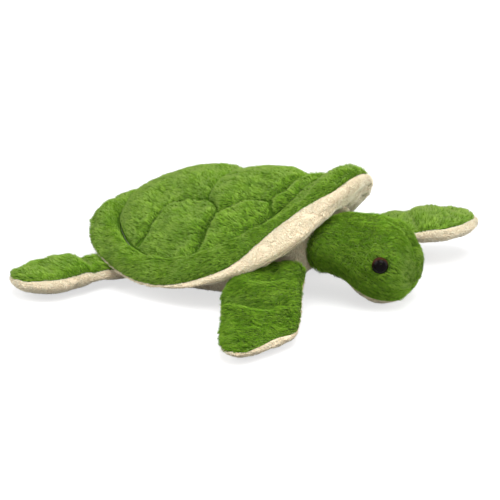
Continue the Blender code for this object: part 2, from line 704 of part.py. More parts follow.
def main():
    """Builds the turtle from the shell out to its limbs, then the body that they sit in."""
    make_shell()
    pockets = [make_head()]
    hands = ((-1, "right", FRONT_RIGHT_HEADING, FRONT_RIGHT_TIP_Z),
             (1, "left", FRONT_LEFT_HEADING, FRONT_LEFT_TIP_Z))
    for side, word, front_heading, front_tip_z in hands:
        pockets.append(flipper("front_flipper_" + word, side, FRONT_BEARING, FRONT_ROOT_Z,
                               FRONT_ROOT_HALF_WIDTH, FRONT_ROOT_HALF_THICK, FRONT_REACH,
                               FRONT_HALF_WIDTH, front_tip_z, front_heading, FRONT_SHARES))
        pockets.append(flipper("rear_flipper_" + word, side, REAR_BEARING, REAR_ROOT_Z,
                               REAR_ROOT_HALF_WIDTH, REAR_ROOT_HALF_THICK, REAR_REACH,
                               REAR_HALF_WIDTH, REAR_TIP_Z, REAR_HEADING, REAR_SHARES))
    make_body(pockets)


for item in list(bpy.data.objects):
    bpy.data.objects.remove(item, do_unlink=True)
TURTLE = bpy.data.collections.new("plush_turtle")
CUTTERS = bpy.data.collections.new("cutters")
bpy.context.scene.collection.children.link(TURTLE)
bpy.context.scene.collection.children.link(CUTTERS)
main()
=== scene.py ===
"""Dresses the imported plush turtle: cloth panels, their pile, the fibre inside, and the eyes."""
import math

import bmesh
import bpy
import numpy as np
from mathutils import Matrix, Vector
from mathutils.kdtree import KDTree


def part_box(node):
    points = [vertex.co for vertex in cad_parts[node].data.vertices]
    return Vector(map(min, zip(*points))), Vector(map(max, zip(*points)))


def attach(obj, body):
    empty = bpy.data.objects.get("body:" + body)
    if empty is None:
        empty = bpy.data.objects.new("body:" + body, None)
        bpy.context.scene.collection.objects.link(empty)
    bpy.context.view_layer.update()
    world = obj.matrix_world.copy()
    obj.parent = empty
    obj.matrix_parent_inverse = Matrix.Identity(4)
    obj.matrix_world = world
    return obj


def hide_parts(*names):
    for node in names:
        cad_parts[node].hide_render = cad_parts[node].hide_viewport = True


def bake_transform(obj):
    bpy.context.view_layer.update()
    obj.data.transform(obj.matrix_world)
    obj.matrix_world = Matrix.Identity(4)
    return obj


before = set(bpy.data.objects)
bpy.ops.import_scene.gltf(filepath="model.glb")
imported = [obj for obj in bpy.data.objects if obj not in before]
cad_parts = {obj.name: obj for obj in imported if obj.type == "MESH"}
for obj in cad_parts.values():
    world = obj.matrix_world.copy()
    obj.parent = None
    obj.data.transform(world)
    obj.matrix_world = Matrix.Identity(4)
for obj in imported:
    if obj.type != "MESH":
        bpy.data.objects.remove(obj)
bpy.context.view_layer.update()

MM = 0.001

# The turtle lies nose to -Y, its right side to -X. The sizes are the solids' own, but the lip is higher, the
# crown and the chin's seam are lower and the body's front is tucked in less, because the cloth's folds and
# the pile add to them. Shell outline, edge heights and fullness
SHELL_MIDDLE_Y = 26 * MM
SHELL_REAR = 110 * MM
SHELL_FRONT = 122 * MM
SHELL_HALF_WIDTH = 101 * MM
SHELL_EDGE_LOW = 13 * MM
SHELL_EDGE_FRONT = 91 * MM
SHELL_SHEET_MIDDLE = 41 * MM
SHELL_CROWN = 39.2 * MM
SHELL_LEAN_SHARE = 0.25
SHELL_UNDER = 11 * MM
SHELL_ROLL_SHARE = 0.6

# Body bag
BODY_MIDDLE_Y = 30 * MM
BODY_REAR = 78 * MM
BODY_FRONT = 114 * MM
BODY_HALF_WIDTH = 79 * MM
BODY_WIDEST_Z = 24 * MM
BODY_TOP_Z = 84 * MM
BELLY_PRESS = 0.5 * MM
BELLY_SEAM_Z = 10 * MM
BODY_TUCK = 4 * MM
BODY_BOW_RISE = 18 * MM
TUCK_BEARING = math.radians(150)
BOW_BEARING = math.radians(145)
BOW_START_SHARE = 0.35

# Head
NECK_STAND = 2.5 * MM
NECK_PIVOT_Z = 42.5 * MM
NECK_HALF_WIDTH = 30 * MM
NECK_HALF_HEIGHT = 21 * MM
HEAD_REACH = 58 * MM
HEAD_HALF_WIDTH = 34 * MM
HEAD_HALF_HEIGHT = 30 * MM
HEAD_PITCH = math.radians(17)
HEAD_TURN = math.radians(7)
CHIN_SEAM_DROP = 22 * MM
EYE_RADIUS = 6 * MM

# Flippers
FRONT_BEARING = math.radians(147)
FRONT_ROOT_Z = 18 * MM
FRONT_ROOT_HALF_WIDTH = 26 * MM
FRONT_ROOT_HALF_THICK = 9.5 * MM
FRONT_REACH = 109 * MM
FRONT_HALF_WIDTH = 29 * MM
FRONT_RIGHT_TIP_Z = 9.2 * MM
FRONT_LEFT_TIP_Z = 30 * MM
FRONT_RIGHT_HEADING = math.radians(33)
FRONT_LEFT_HEADING = math.radians(46)
REAR_BEARING = math.radians(57)
REAR_ROOT_Z = 8.5 * MM
REAR_ROOT_HALF_WIDTH = 18 * MM
REAR_ROOT_HALF_THICK = 7 * MM
REAR_REACH = 92 * MM
REAR_HALF_WIDTH = 27 * MM
REAR_TIP_Z = 13 * MM
REAR_HEADING = math.radians(-24)
ROOT_STAND = 2 * MM

# Outlines every 30 degrees from rear to front
BEARINGS = np.radians(np.arange(0, 181, 30))
SHELL_BLEND_SHARES = (0.0, 0.0, 0.6, 1.0, 0.72, 0.28, 0.0)
SHELL_HEIGHT_SHARES = (0.28, 0.23, 0.10, 0.02, 0.20, 0.54, 1.0)
SHELL_DEPTH_SHARES = (0.8, 0.7, 0.45, 0.8, 1.2, 1.2, 1.3)
SHELL_ROLL_SHARES = (0.0, 0.0, 0.0, 0.25, 0.8, 0.95, 0.3)
# Profiles from the middle of the top, over the edge, to the middle underneath: radius share, height
# share over the seam, depth share under it
SHELL_PROFILE_SHARES = ((0.0, 1.0, 0.0), (0.40, 0.90, 0.0), (0.64, 0.64, 0.0), (0.80, 0.36, 0.0),
                        (0.88, 0.36, 0.0), (0.96, 0.24, 0.0), (1.0, 0.0, 0.0), (0.99, 0.0, 0.34),
                        (0.96, 0.0, 0.68), (0.9, 0.0, 0.92), (0.8, 0.0, 1.0), (0.5, 0.0, 1.0),
                        (0.0, 0.0, 1.0))
RING_KNOT = 3
EDGE_KNOT = 6
BODY_PROFILE_SHARES = ((0.0, 1.0, 0.0), (0.5, 1.0, 0.0), (0.82, 0.95, 0.0), (0.95, 0.72, 0.0),
                       (0.99, 0.38, 0.0), (1.0, 0.0, 0.0), (0.97, 0.0, 0.42), (0.88, 0.0, 0.78),
                       (0.68, 0.0, 0.98), (0.35, 0.0, 1.0), (0.0, 0.0, 1.0))
# Quilting seams of one side, as shares of the half width out and of the front length back
SIDE_SEAM_SHARES = (((0.53, 0.17), (0.66, 0.19), (0.86, 0.21)),
                    ((0.53, 0.17), (0.46, 0.13), (0.42, 0.02), (0.41, -0.10)),
                    ((0.41, -0.10), (0.46, -0.19), (0.53, -0.25)),
                    ((0.53, -0.25), (0.68, -0.25), (0.86, -0.24)),
                    ((0.53, -0.25), (0.46, -0.32), (0.38, -0.40), (0.34, -0.49), (0.33, -0.54)),
                    ((0.33, -0.54), (0.39, -0.60), (0.50, -0.70)))
MIDDLE_SEAM_SHARES = (((-0.41, -0.10), (-0.26, -0.06), (0.0, -0.04), (0.26, -0.06), (0.41, -0.10)),
                      ((-0.33, -0.54), (-0.20, -0.59), (0.0, -0.62), (0.20, -0.59), (0.33, -0.54)))
# Stations of a limb past its pivot: reach, half width, sideways shift, half thickness
HEAD_SHARES = ((0.22, 0.91, 0.0, 0.88), (0.47, 1.0, 0.0, 1.0), (0.72, 0.94, 0.0, 0.95),
               (0.89, 0.74, 0.0, 0.76), (0.975, 0.44, 0.0, 0.46), (1.0, 0.0, 0.0, 0.0))
FRONT_SHARES = ((0.24, 1.04, -0.14, 0.96), (0.48, 1.0, -0.14, 0.94), (0.68, 0.94, -0.20, 0.90),
                (0.80, 0.72, -0.36, 0.84), (0.91, 0.44, -0.54, 0.66), (1.0, 0.0, -0.60, 0.0))
FRONT_LEFT_SHARES = ((0.24, 0.93, -0.03, 1.02), (0.48, 0.98, -0.14, 1.28), (0.72, 0.96, -0.20, 1.36),
                     (0.93, 0.66, -0.32, 1.0), (1.035, 0.0, -0.40, 0.0))
REAR_SHARES = ((0.26, 0.76, 0.0, 1.06), (0.50, 0.94, 0.02, 1.6), (0.74, 0.98, 0.03, 1.6),
               (0.92, 0.68, -0.02, 1.08), (1.0, 0.0, -0.05, 0.0))
ROOT_ANGLES = np.radians((0, 30, 60, 90))

SIDES = ("right", "left")

# How a limb's root rises on top and tilts up at its leading edge, and where the neck swells below
FRONT_RIGHT_SHOULDER = 8 * MM
FRONT_RIGHT_TILT = 9 * MM
FRONT_LEFT_SHOULDER = 3.5 * MM
REAR_SHOULDER = 4.5 * MM
SHOULDER_POWER = 0.6
SHOULDER_END = 1.4
NECK_SWELL = 10 * MM
NECK_SWELL_TURN = math.radians(-150)
NECK_SWELL_SPREAD = math.radians(80)

# Cloth: how far it lies inside the outline that its pile fills, its thickness, and what lies under it
NAP = 2.0 * MM
CLOTH = 1.6 * MM
UNDER_CLOTH = 0.5 * MM
WADDING = 2.4 * MM
WADDING_MARGIN = 4 * MM
WADDING_FADE = 12 * MM
FLOOR_CLEAR = 0.3 * MM
FILL_SHORT = 9 * MM
ROOF_CLEAR = 1.4 * MM
ROOF_OVERLAP = 14 * MM
WALL_START = 5 * MM
SEAM_GAP = 0.15 * MM
TOP_SEAM_GAP = math.radians(0.3)
SIDE_SEAM_GAP = math.radians(0.4)
SMALL_TURN = 0.002
SMALL_TRAVEL = 0.2 * MM
SMALL_THICK = 1e-6

# How far in from the pile's tips a cloth's inner face lies, and what it holds
BACKING = NAP + CLOTH
INSIDE = BACKING + UNDER_CLOTH

# Quilting: how deep a seam draws the cloth in, how far it reaches, and how full the cloth is between
SHELL_EASE = 2.4 * MM
QUILT_DEPTH = 6.2 * MM
QUILT_REACH = 2.0 * MM
# No pile this near a quilting seam, so the darker backing shows there as painted shade beside the seam's own
# shadow.
QUILT_BARE = 0.8 * MM
PILLOW_RISE = 2.2 * MM
PILLOW_REACH = 9 * MM
RIM_ROUND = 1.4 * MM
EDGE_SEAM_DEPTH = 1.2 * MM
EDGE_SEAM_REACH = 2.0 * MM
CREASE_POWER = 1.5

# The front lip. Its ring seam counts as farther off past a bearing in degrees. Its left thins, rolls back,
# rises and shows more cream, each over a span of bearings: start, ramp, end and ramp
RING_SHALLOW = 4.0 * MM
RING_SHALLOW_START = 150
RING_SHALLOW_RAMP = 25
LIP_LEFT_SPAN = (120, 25, 180, 12)
LIP_RISE_SPAN = (115, 30, 172, 20)
LIP_LEFT_THIN = 0.2
LIP_LEFT_ROLL = -0.6
LIP_LEFT_RISE = 0.08
LIP_LEFT_SEAM = 5.0 * MM

# By bearing in degrees: how far the ring seam lies outside its mean place, and how far the seam between
# the green rim and the cream underside lies above the shell's edge, in millimetres
RING_SHIFTS = ((0, 50, 69, 85, 101, 113, 128, 143, 160, 180), (0, 0, 2, 4, 5.5, 4, 0, -5, -8, -6))
SEAM_RISES = ((0, 50, 70, 88, 105, 117, 126, 132, 139, 151, 158, 162, 169, 180),
              (0, 0.5, 1.0, 0.5, 0.5, 2, 3, 5, 9, 14.4, 14.0, 11.0, 5.5, 3.0))
# Soft folds of the underside: turn in degrees and travel past the edge in millimetres, depth, reach
UNDERSIDE_FOLDS = ((((164, 2), (172, 9), (180, 12)), 2.0, 3.0), (((152, -3), (158, -1), (163, 2)), 1.4, 2.5),
                   (((120, 5), (138, 6), (152, 7), (164, 10)), 1.8, 4.0),
                   (((100, 8), (118, 11), (134, 13)), 1.2, 3.5))

# The pocket that a limb's root swings in: its clearance and how its mouth flares
POCKET_CLEAR = 0.5 * MM
POCKET_FLARE = 2.5

# Seams along a limb's two edges: travel in millimetres, and degrees above the edge. The cream skin
# wraps the tip, and the first edge is the one that leads
TIP_EDGE = ((0, 125, 133, 138, 142.5), (0, 4, 9, 17, 90))
FRONT_RIGHT_EDGES = (((0, 85, 95, 108, 114, 121, 130, 137, 140, 142.5),
                       (0, 4, 8, 26, 33, 34, 22, 20, 32, 90)), TIP_EDGE)
FRONT_LEFT_EDGES = (((0, 40, 83, 98, 118, 138, 142.5), (0, 10, 21, 23, 29, 50, 90)), TIP_EDGE)
REAR_EDGES = (((0, 20, 40, 67, 83, 110, 119), (0, 10, 30, 27, 30, 42, 90)),
              ((0, 104, 112, 119), (0, 4, 16, 90)))
# Dents of a limb's cloth: turn in degrees and travel in millimetres along each, depth, reach
LIMB_DENTS = {
    "head": ((((158, 36), (182, 53), (186, 70), (189, 82)), 1.6, 3.0),
             (((150, 44), (140, 52), (128, 58)), 1.2, 3.0),
             (((85, 95), (50, 92)), 4.0, 12.0), (((-178, 28), (-150, 30), (-125, 33)), -9.5, 11.5),
             (((-160, 100), (-110, 100)), -2.2, 13.0), (((-35, 102), (-80, 86), (-120, 78)), -2.8, 13.0),
             (((125, 30), (85, 40)), -4.0, 10.0),
             (((210, 50), (204, 62), (198, 72)), 1.2, 3.0), (((-30, 52), (-10, 66), (4, 80)), 1.2, 3.0)),
    "front_flipper_right": ((((98, 42), (80, 44)), 2.6, 5.0), (((104, 51), (78, 53), (50, 51)), 4.2, 4.2),
                            (((150, 67), (118, 73), (87, 77), (58, 75)), 4.0, 3.6),
                            (((104, 79), (84, 81)), 2.4, 4.5), (((60, 96), (84, 104)), 1.4, 5.0),
                            (((-120, 62), (-90, 70), (-60, 66)), 1.8, 3.5)),
    "front_flipper_left": ((((50, 80), (90, 82), (130, 82), (168, 80)), 5.2, 7.0),
                           (((70, 44), (110, 46)), 2.4, 5.0),
                           (((176, 104), (140, 100), (110, 102)), 1.4, 3.5),
                           (((-120, 74), (-60, 78)), 2.0, 4.0)),
    "rear_flipper_right": ((((30, 50), (60, 52), (121, 53), (160, 50)), 4.0, 6.0),
                           (((60, 84), (100, 88)), 1.8, 5.0),
                           (((20, 68), (-20, 70)), 1.2, 3.0)),
    "rear_flipper_left": ((((20, 52), (90, 53), (150, 50)), 3.6, 6.0), (((70, 86), (120, 84)), 1.8, 5.0)),
}

# Blender's Cloth on each stuffed bag: even mesh, how much larger the cloth is cut, and its limits
BAG_VOXEL = 3.0 * MM
BAG_SWELL = 0.06
BAG_PRESSURE = 4.0
BAG_FRAMES = 20
BAG_MOVE = 2.6 * MM
SEAM_HOLD = 2.4 * MM
UNDERSIDE_HOLD = 45 * MM
ROOF_HOLD = 3 * MM
POCKET_HOLD = 0.1 * MM
FLOOR_HOLD = 2 * MM
BELLY_HOLD = 1.5 * MM
CREAM_CALM_SHARE = 0.3
CREAM_CALM_REACH = 4 * MM

# Pile: length, width, and density by area of each dye
PILE = {"green": (3.8 * MM, 0.60 * MM, 2.3e6), "cream": (2.2 * MM, 0.52 * MM, 2.3e6)}
PILE_LEAN = math.radians(62)
CLUMP_ALONG = 5.5 * MM
CLUMP_ACROSS = 1.5 * MM
CLUMP_BLOCK = 14 * MM
CLUMP_PULL_SHARE = 0.2
CLUMP_SWAY = math.radians(9)
TUFT_SWAY = math.radians(11)
BRUSH_SWAY = math.radians(22)
BRUSH_LEAN = math.radians(9)
LEAN_SPREAD = 0.08
CLUMP_TONE = 0.26
TUFT_TONE = 0.12
TUFT_GROW = (0.8, 1.15)
CLUMP_GROW = (0.9, 1.1)
TUFT_WIDTHS = (0.8, 1.2)
RIDGE_SHARE = 0.35
SEAM_PILE_REACH = 5 * MM
SHELL_SEAM_PILE = 0.45
LIMB_SEAM_PILE = 0.55
BELLY_PILE_SHARE = 0.45
UNDER_BODY_SHARE = 0.86
ROOF_BARE = 2 * MM
ROOF_BARE_TRAVEL = 3 * MM
POCKET_BARE = 0.8 * MM
FLOOR_BARE = 1.5 * MM
NARROW_BARE = 3 * MM
BODY_COMB = (0.0, 0.8, -0.8)
FLIPPER_COMB = (0.5, 0.8)
REARWARD = np.array((0.12, 1.0, 0.0))
SPIKE_FACES = np.array(((0, 2, 3), (2, 1, 3), (0, 3, 1), (0, 1, 2)))
SPIKE_ALONG = (0.0, 0.0, 0.12, 1.0)
SPIKE_CORNERS = np.array(((0.15, 0.15), (0.85, 0.15), (0.5, 0.3), (0.5, 0.85)))
SHELL_COLUMNS = 240
BODY_COLUMNS = 180
HEAD_COLUMNS = 72
FLIPPER_COLUMNS = 56

# Eyes: the pupil's place in the dome, the ring round it, and the pile that is longer behind the eye
PUPIL_SHIFT = np.array((0.0, 1.8, -2.4)) * MM
EYE_RING = (5.0 * MM, 6.8 * MM)
EYE_BARE_SHARE = 0.85
EYE_FRINGE = 1.1
FRINGE_LIFT = 0.38

# Studio: what the surround and the floor give off, each lamp's place and power, and the camera
WORLD_LIGHT = 0.34
FLOOR_SHADE = 0.42
FLOOR_GLOW = {"From Min": 0.35, "From Max": 1.3, "To Min": 0.66, "To Max": 0.95}
LAMP_SIZE = 1.0
LAMP_TARGET = (0.0, 0.0, 40 * MM)
LAMPS = {"key": ((-0.35, -0.45, 1.45), 22.0), "side": ((0.5, -1.2, 0.55), 10.0),
         "back": ((-0.9, 0.9, 0.9), 12.0), "front": ((-1.1, -0.8, 0.9), 2.5)}
CAMERA_TARGET = (0.0, -10 * MM, 35 * MM)
CAMERA_AZIMUTH = math.radians(-55)
CAMERA_ELEVATION = math.radians(18)
CAMERA_DISTANCE = 917 * MM
CAMERA_LENS = 84.7
CAMERA_SHIFT = (-0.024, -0.036)
WHITE = (1.0, 1.0, 1.0, 1.0)


def smooth(value, places, levels, level_ends=True):
    """A cubic through levels at rising places, whose slope at each is the mean of its neighbours'."""
    places = np.asarray(places, float)
    levels = np.asarray(levels, float)
    slopes = np.gradient(levels, places)
    if level_ends:
        slopes[0] = 0.0
        slopes[-1] = 0.0
    value = np.clip(value, places[0], places[-1])
    step = np.clip(np.searchsorted(places, value) - 1, 0, len(places) - 2)
    width = places[step + 1] - places[step]
    share = (value - places[step]) / width
    ease = share * share * (3 - 2 * share)
    lean = share * (1 - share) * width
    turn = slopes[step] * (1 - share) - slopes[step + 1] * share
    return levels[step] + (levels[step + 1] - levels[step]) * ease + lean * turn


def eased(share):
    """0 to 1 with level ends: three squares less two cubes."""
    share = np.clip(share, 0.0, 1.0)
    return share * share * (3 - 2 * share)


def unit(vectors):
    """Vectors of length one."""
    return vectors / np.maximum(np.linalg.norm(vectors, axis=-1, keepdims=True), 1e-12)


def level_poles(points, normals):
    """The normals, where each row that is one point takes its mean."""
    for row in (0, -1):
        if np.ptp(points[row], axis=0).max() < 1e-7:
            normals[row] = unit(normals[row].mean(0))
    return normals


def surface_normals(place, turn, travel):
    """Unit normals of a surface: the cross product of its central differences in turn and travel."""
    inner = np.clip(travel, SMALL_TRAVEL * 4, None)
    across = place(turn + SMALL_TURN, inner) - place(turn - SMALL_TURN, inner)
    down = place(turn, inner + SMALL_TRAVEL) - place(turn, inner - SMALL_TRAVEL)
    return level_poles(place(turn, travel), unit(np.cross(across, down)))


def grid_normals(points, wrap):
    """Unit normals of a grid: the cross product of its two central differences."""
    down = np.gradient(points, axis=0)
    if wrap:
        across = np.roll(points, -1, 1) - np.roll(points, 1, 1)
    else:
        across = np.gradient(points, axis=1)
    normals = unit(np.cross(across, down))
    for row, beside in ((0, 1), (-1, -2)):
        if np.ptp(points[row], axis=0).max() < 1e-7:
            normals[row] = unit(normals[beside].mean(0))
    return normals


def by_degrees(turn, table):
    """Lengths read off a table of bearings in degrees and millimetres."""
    places, levels = table
    return smooth(np.degrees(np.abs(turn)), places, levels) * MM


def travels(profile, across, over, under):
    """How far each point of a profile lies along it, as lengths."""
    table = np.array(profile) * (across, over, under)
    steps = np.hypot(np.diff(table[:, 0]), np.diff(table[:, 1] - table[:, 2]))
    return np.concatenate([[0.0], np.cumsum(steps)])


def distance_to(points, route):
    """Least distance from each point to a line of straight runs."""
    best = np.full(points.shape[:-1], np.inf)
    for start, end in zip(route[:-1], route[1:]):
        along = end - start
        share = np.clip((points - start) @ along / (along @ along), 0.0, 1.0)
        best = np.minimum(best, np.linalg.norm(points - start - share[..., None] * along, axis=-1))
    return best


def drawn_in(points, creases):
    """How far creases draw cloth in: depth, fading with the distance to a line over its reach."""
    total = np.zeros(points.shape[:-1])
    for line, depth, reach in creases:
        total += depth * MM * np.exp(-(distance_to(points, line) / (reach * MM)) ** CREASE_POWER)
    return total


def over_span(turn, span):
    """One over a span of bearings in degrees, and zero elsewhere, with smooth ends."""
    start, ramp, end, fall = span
    return eased((np.degrees(turn) - start) / ramp) * eased((end - np.degrees(turn)) / fall)


def profile_at(travel, places, profile):
    """A profile's shares at a travel, of which the first alone has sloping ends."""
    return [smooth(travel, places, column, level_ends=(place > 0))
            for place, column in enumerate(np.transpose(profile))]


def turns(columns):
    """A row of turns right round."""
    return np.linspace(-math.pi, math.pi, columns, endpoint=False)[None, :]


def round_grid(columns, rows, end):
    """A grid of turns right round, and travels from zero to an end."""
    turn = turns(columns)
    travel = np.linspace(0.0, end, rows)[:, None]
    return turn + 0 * travel, travel + 0 * turn


# Shell

SHELL_TRAVELS = travels(SHELL_PROFILE_SHARES, SHELL_HALF_WIDTH, SHELL_CROWN, SHELL_UNDER)
RING_TRAVEL = SHELL_TRAVELS[RING_KNOT]
EDGE_TRAVEL = SHELL_TRAVELS[EDGE_KNOT]
SHELL_END = SHELL_TRAVELS[-1]


def shell_radius(bearing):
    """The plan radius: the side's length blended with the rear's or the front's."""
    side = smooth(bearing, BEARINGS, SHELL_BLEND_SHARES)
    end = np.where(bearing < math.pi / 2, SHELL_REAR, SHELL_FRONT)
    return end + (SHELL_HALF_WIDTH - end) * side


def edge_height(turn):
    """Height of the cushion's edge, which rises more at the left of the front lip."""
    share = smooth(np.abs(turn), BEARINGS, SHELL_HEIGHT_SHARES)
    share = share + LIP_LEFT_RISE * over_span(turn, LIP_RISE_SPAN)
    return SHELL_EDGE_LOW + (SHELL_EDGE_FRONT - SHELL_EDGE_LOW) * share


def shell_depth(turn):
    """Depth of the cushion under its edge, less at the left of the front lip."""
    depth = SHELL_UNDER * smooth(np.abs(turn), BEARINGS, SHELL_DEPTH_SHARES)
    return depth * (1 - LIP_LEFT_THIN * over_span(turn, LIP_LEFT_SPAN))


def shell_roll(turn):
    """How far the cushion's edge rolls: the top in and the underside out, or back at the lip's left."""
    left = over_span(turn, LIP_LEFT_SPAN)
    roll = smooth(np.abs(turn), BEARINGS, SHELL_ROLL_SHARES)
    return SHELL_ROLL_SHARE * (roll * (1 - left) + LIP_LEFT_ROLL * left)


def shell_base(turn, travel):
    """The cushion's outside: a flat cushion from its profile, then bent.

    It is lifted by a sheet that curves from its middle height to its edge height with the square
    of the radius share. Near the front the edge rolls, by the fourth power of that share.
    """
    share, over, under = profile_at(travel, SHELL_TRAVELS, SHELL_PROFILE_SHARES)
    share = np.clip(share, 0.0, None)
    lean = 1 - SHELL_LEAN_SHARE * share * np.cos(turn)
    flat_z = SHELL_CROWN * over * lean - shell_depth(turn) * under
    edge = edge_height(turn)
    roll = shell_roll(turn) * np.minimum(1.0, share) ** 4
    radius = shell_radius(np.abs(turn)) * share
    out = radius - roll * flat_z
    rise = SHELL_SHEET_MIDDLE + (edge - SHELL_SHEET_MIDDLE) * share ** 2
    points = np.stack([out * np.sin(turn), SHELL_MIDDLE_Y + out * np.cos(turn), flat_z + rise], -1)
    plan = np.stack([radius * np.sin(turn), radius * np.cos(turn)], -1)
    return points, plan


def ring_seam(turn):
    """Travel of the seam round the scutes."""
    return RING_TRAVEL + by_degrees(turn, RING_SHIFTS)


def rim_seam(turn):
    """Travel of the seam between the green rim and the cream underside."""
    return EDGE_TRAVEL - by_degrees(turn, SEAM_RISES) - LIP_LEFT_SEAM * over_span(turn, LIP_LEFT_SPAN)


def quilt_gap(plan, turn, travel):
    """Distance from each point of the shell's top to the nearest quilting seam or the ring seam.

    The ring seam counts as farther off over the front lip, where it is sewn down less.
    """
    sizes = np.array((SHELL_HALF_WIDTH, SHELL_FRONT))
    ring = ring_seam(turn)
    front = eased((np.degrees(np.abs(turn)) - RING_SHALLOW_START) / RING_SHALLOW_RAMP)
    gap = np.abs(travel - ring) + RING_SHALLOW * front
    inside = travel < ring
    routes = [np.array(seam) for seam in MIDDLE_SEAM_SHARES]
    for side in (-1, 1):
        routes += [np.array(seam) * (side, 1.0) for seam in SIDE_SEAM_SHARES]
    for route in routes:
        gap = np.where(inside, np.minimum(gap, distance_to(plan, route * sizes)), gap)
    return gap


def underside_folds(turn, travel):
    """Depth of the long soft folds in the cream cloth behind the lip."""
    here = np.stack([np.abs(turn) * SHELL_HALF_WIDTH, travel - EDGE_TRAVEL], -1)
    return drawn_in(here, [(np.array([(math.radians(degrees) * SHELL_HALF_WIDTH, past * MM)
                                      for degrees, past in route]), depth, reach)
                           for route, depth, reach in UNDERSIDE_FOLDS])


def shell_relief(turn, travel, plan):
    """How far the cloth stands out: drawn in at each seam, and full between the seams."""
    gap = quilt_gap(plan, turn, travel)
    ring, edge = ring_seam(turn), rim_seam(turn)
    relief = PILLOW_RISE * (1 - np.exp(-gap / PILLOW_REACH)) - QUILT_DEPTH * np.exp(-gap / QUILT_REACH)
    relief = relief - SHELL_EASE
    across = np.clip((travel - ring) / (edge - ring), 0.0, 1.0)
    relief = relief + RIM_ROUND * np.sin(math.pi * across)
    relief = relief - EDGE_SEAM_DEPTH * np.exp(-np.abs(travel - edge) / EDGE_SEAM_REACH)
    return relief - underside_folds(turn, travel), gap


def shell_surface(turn, travel, inset):
    """The shell's cloth at an inset, and each point's distance to a quilting seam."""
    points, plan = shell_base(turn, travel)
    relief, gap = shell_relief(turn, travel, plan)
    calm = 1 - (1 - CREAM_CALM_SHARE) * eased((travel - rim_seam(turn)) / CREAM_CALM_REACH)
    relief = relief + calm * moved("shell", turn, travel)
    normals = surface_normals(lambda *place: shell_base(*place)[0], turn, travel)
    return points + normals * (relief - inset)[..., None], gap


def under_height(points):
    """Height of the shell's underside over each point in plan, by its sheet and its depth there.

    The radius share there is found from the plan in four rounds, because the edge rolls with it.
    """
    out = points[..., :2] - (0.0, SHELL_MIDDLE_Y)
    turn = np.arctan2(out[..., 0], out[..., 1])
    depth = shell_depth(turn)
    size = shell_radius(np.abs(turn))
    roll = shell_roll(turn)
    here = np.linalg.norm(out, axis=-1) / size
    places, levels = zip(*[(row[0], row[2]) for row in reversed(SHELL_PROFILE_SHARES[EDGE_KNOT:])])
    share = np.minimum(here, 1.0)
    for _ in range(4):
        share = np.clip(here - roll * share ** 4 * depth * np.interp(share, places, levels) / size, 0.0, 1.0)
    rise = SHELL_SHEET_MIDDLE + (edge_height(turn) - SHELL_SHEET_MIDDLE) * share ** 2
    return np.where(here < 1.0, rise - depth * np.interp(share, places, levels), np.inf)


# Limbs

class Limb:
    """A limb's sizes, and the matrix that places it: along +X from its pivot, its width along Y."""

    def __init__(self, root_width, root_thick, reach, width, thick, shares, hand, matrix, lift, shoulder=0.0,
                 tilt=0.0, swell=0.0):
        self.root = (root_width, root_thick)
        self.shoulder = shoulder
        self.tilt = tilt
        self.swell = swell
        self.reach = reach
        self.matrix = np.array(matrix)
        self.lift = lift
        root_rows = np.stack([-root_thick * np.cos(ROOT_ANGLES), root_width * np.sin(ROOT_ANGLES),
                              0 * ROOT_ANGLES, root_thick * np.sin(ROOT_ANGLES)], -1)
        rows = np.array(shares) * (reach, width, hand * width, thick)
        self.rows = np.concatenate([root_rows, rows])
        steps = np.hypot(np.diff(self.rows[:, 0]), np.diff(self.rows[:, 1]))
        self.travels = np.concatenate([[0.0], np.cumsum(steps)])
        self.pivot_travel = self.travels[len(ROOT_ANGLES) - 1]
        self.end = self.travels[-1]

    def stations(self, travel):
        """Place, half width, shift and half thickness at a travel from the root's end to the tip."""
        place, width, shift, thick = self.rows.T
        return (smooth(travel, self.travels, place), smooth(travel, self.travels, width, False),
                smooth(travel, self.travels, shift), smooth(travel, self.travels, thick, False))

    def local(self, turn, travel):
        """An oval section at each station, on a smooth droop. The root rises on top and where it leads."""
        place, width, shift, thick = self.stations(travel)
        half = self.reach / 2
        droop = self.lift * eased(place / half)
        upper = np.clip(np.sin(turn), 0.0, None) ** SHOULDER_POWER
        near = eased(1 + place / self.root[1]) * eased(SHOULDER_END - place / half)
        rise = (self.shoulder * upper + self.tilt * np.clip(np.cos(turn), 0.0, None)) * near
        return np.stack([place, shift + width * np.cos(turn), thick * np.sin(turn) + droop + rise], -1)

    def to_world(self, points):
        """Places points of the limb's own frame in the turtle's."""
        return points @ self.matrix[:3, :3].T + self.matrix[:3, 3]

    def to_local(self, points):
        """Takes points of the turtle's frame into the limb's own."""
        return (points - self.matrix[:3, 3]) @ self.matrix[:3, :3]


def body_radius(bearing):
    """The body bag's plan radius: halves of two ovals, tucked in at the front."""
    end = np.where(bearing < math.pi / 2, BODY_REAR, BODY_FRONT)
    tuck = BODY_TUCK * eased((bearing - TUCK_BEARING) / (math.pi - TUCK_BEARING))
    return 1 / np.hypot(np.sin(bearing) / BODY_HALF_WIDTH, np.cos(bearing) / end) - tuck


def limb_matrix(bearing, side, root_z, heading):
    """Where a flipper's root sits on the body, and which way it points."""
    radius = float(body_radius(bearing)) + ROOT_STAND
    place = (side * radius * math.sin(bearing), BODY_MIDDLE_Y + radius * math.cos(bearing), root_z)
    turn = -heading if side > 0 else math.pi + heading
    return Matrix.Translation(place) @ Matrix.Rotation(turn, 4, 'Z')


def front_limb(side, tip_z, heading, shares, shoulder, tilt=0.0):
    """A front flipper."""
    return Limb(FRONT_ROOT_HALF_WIDTH, FRONT_ROOT_HALF_THICK, FRONT_REACH, FRONT_HALF_WIDTH,
                FRONT_ROOT_HALF_THICK, shares, -side,
                limb_matrix(FRONT_BEARING, side, FRONT_ROOT_Z, heading), tip_z - FRONT_ROOT_Z, shoulder, tilt)


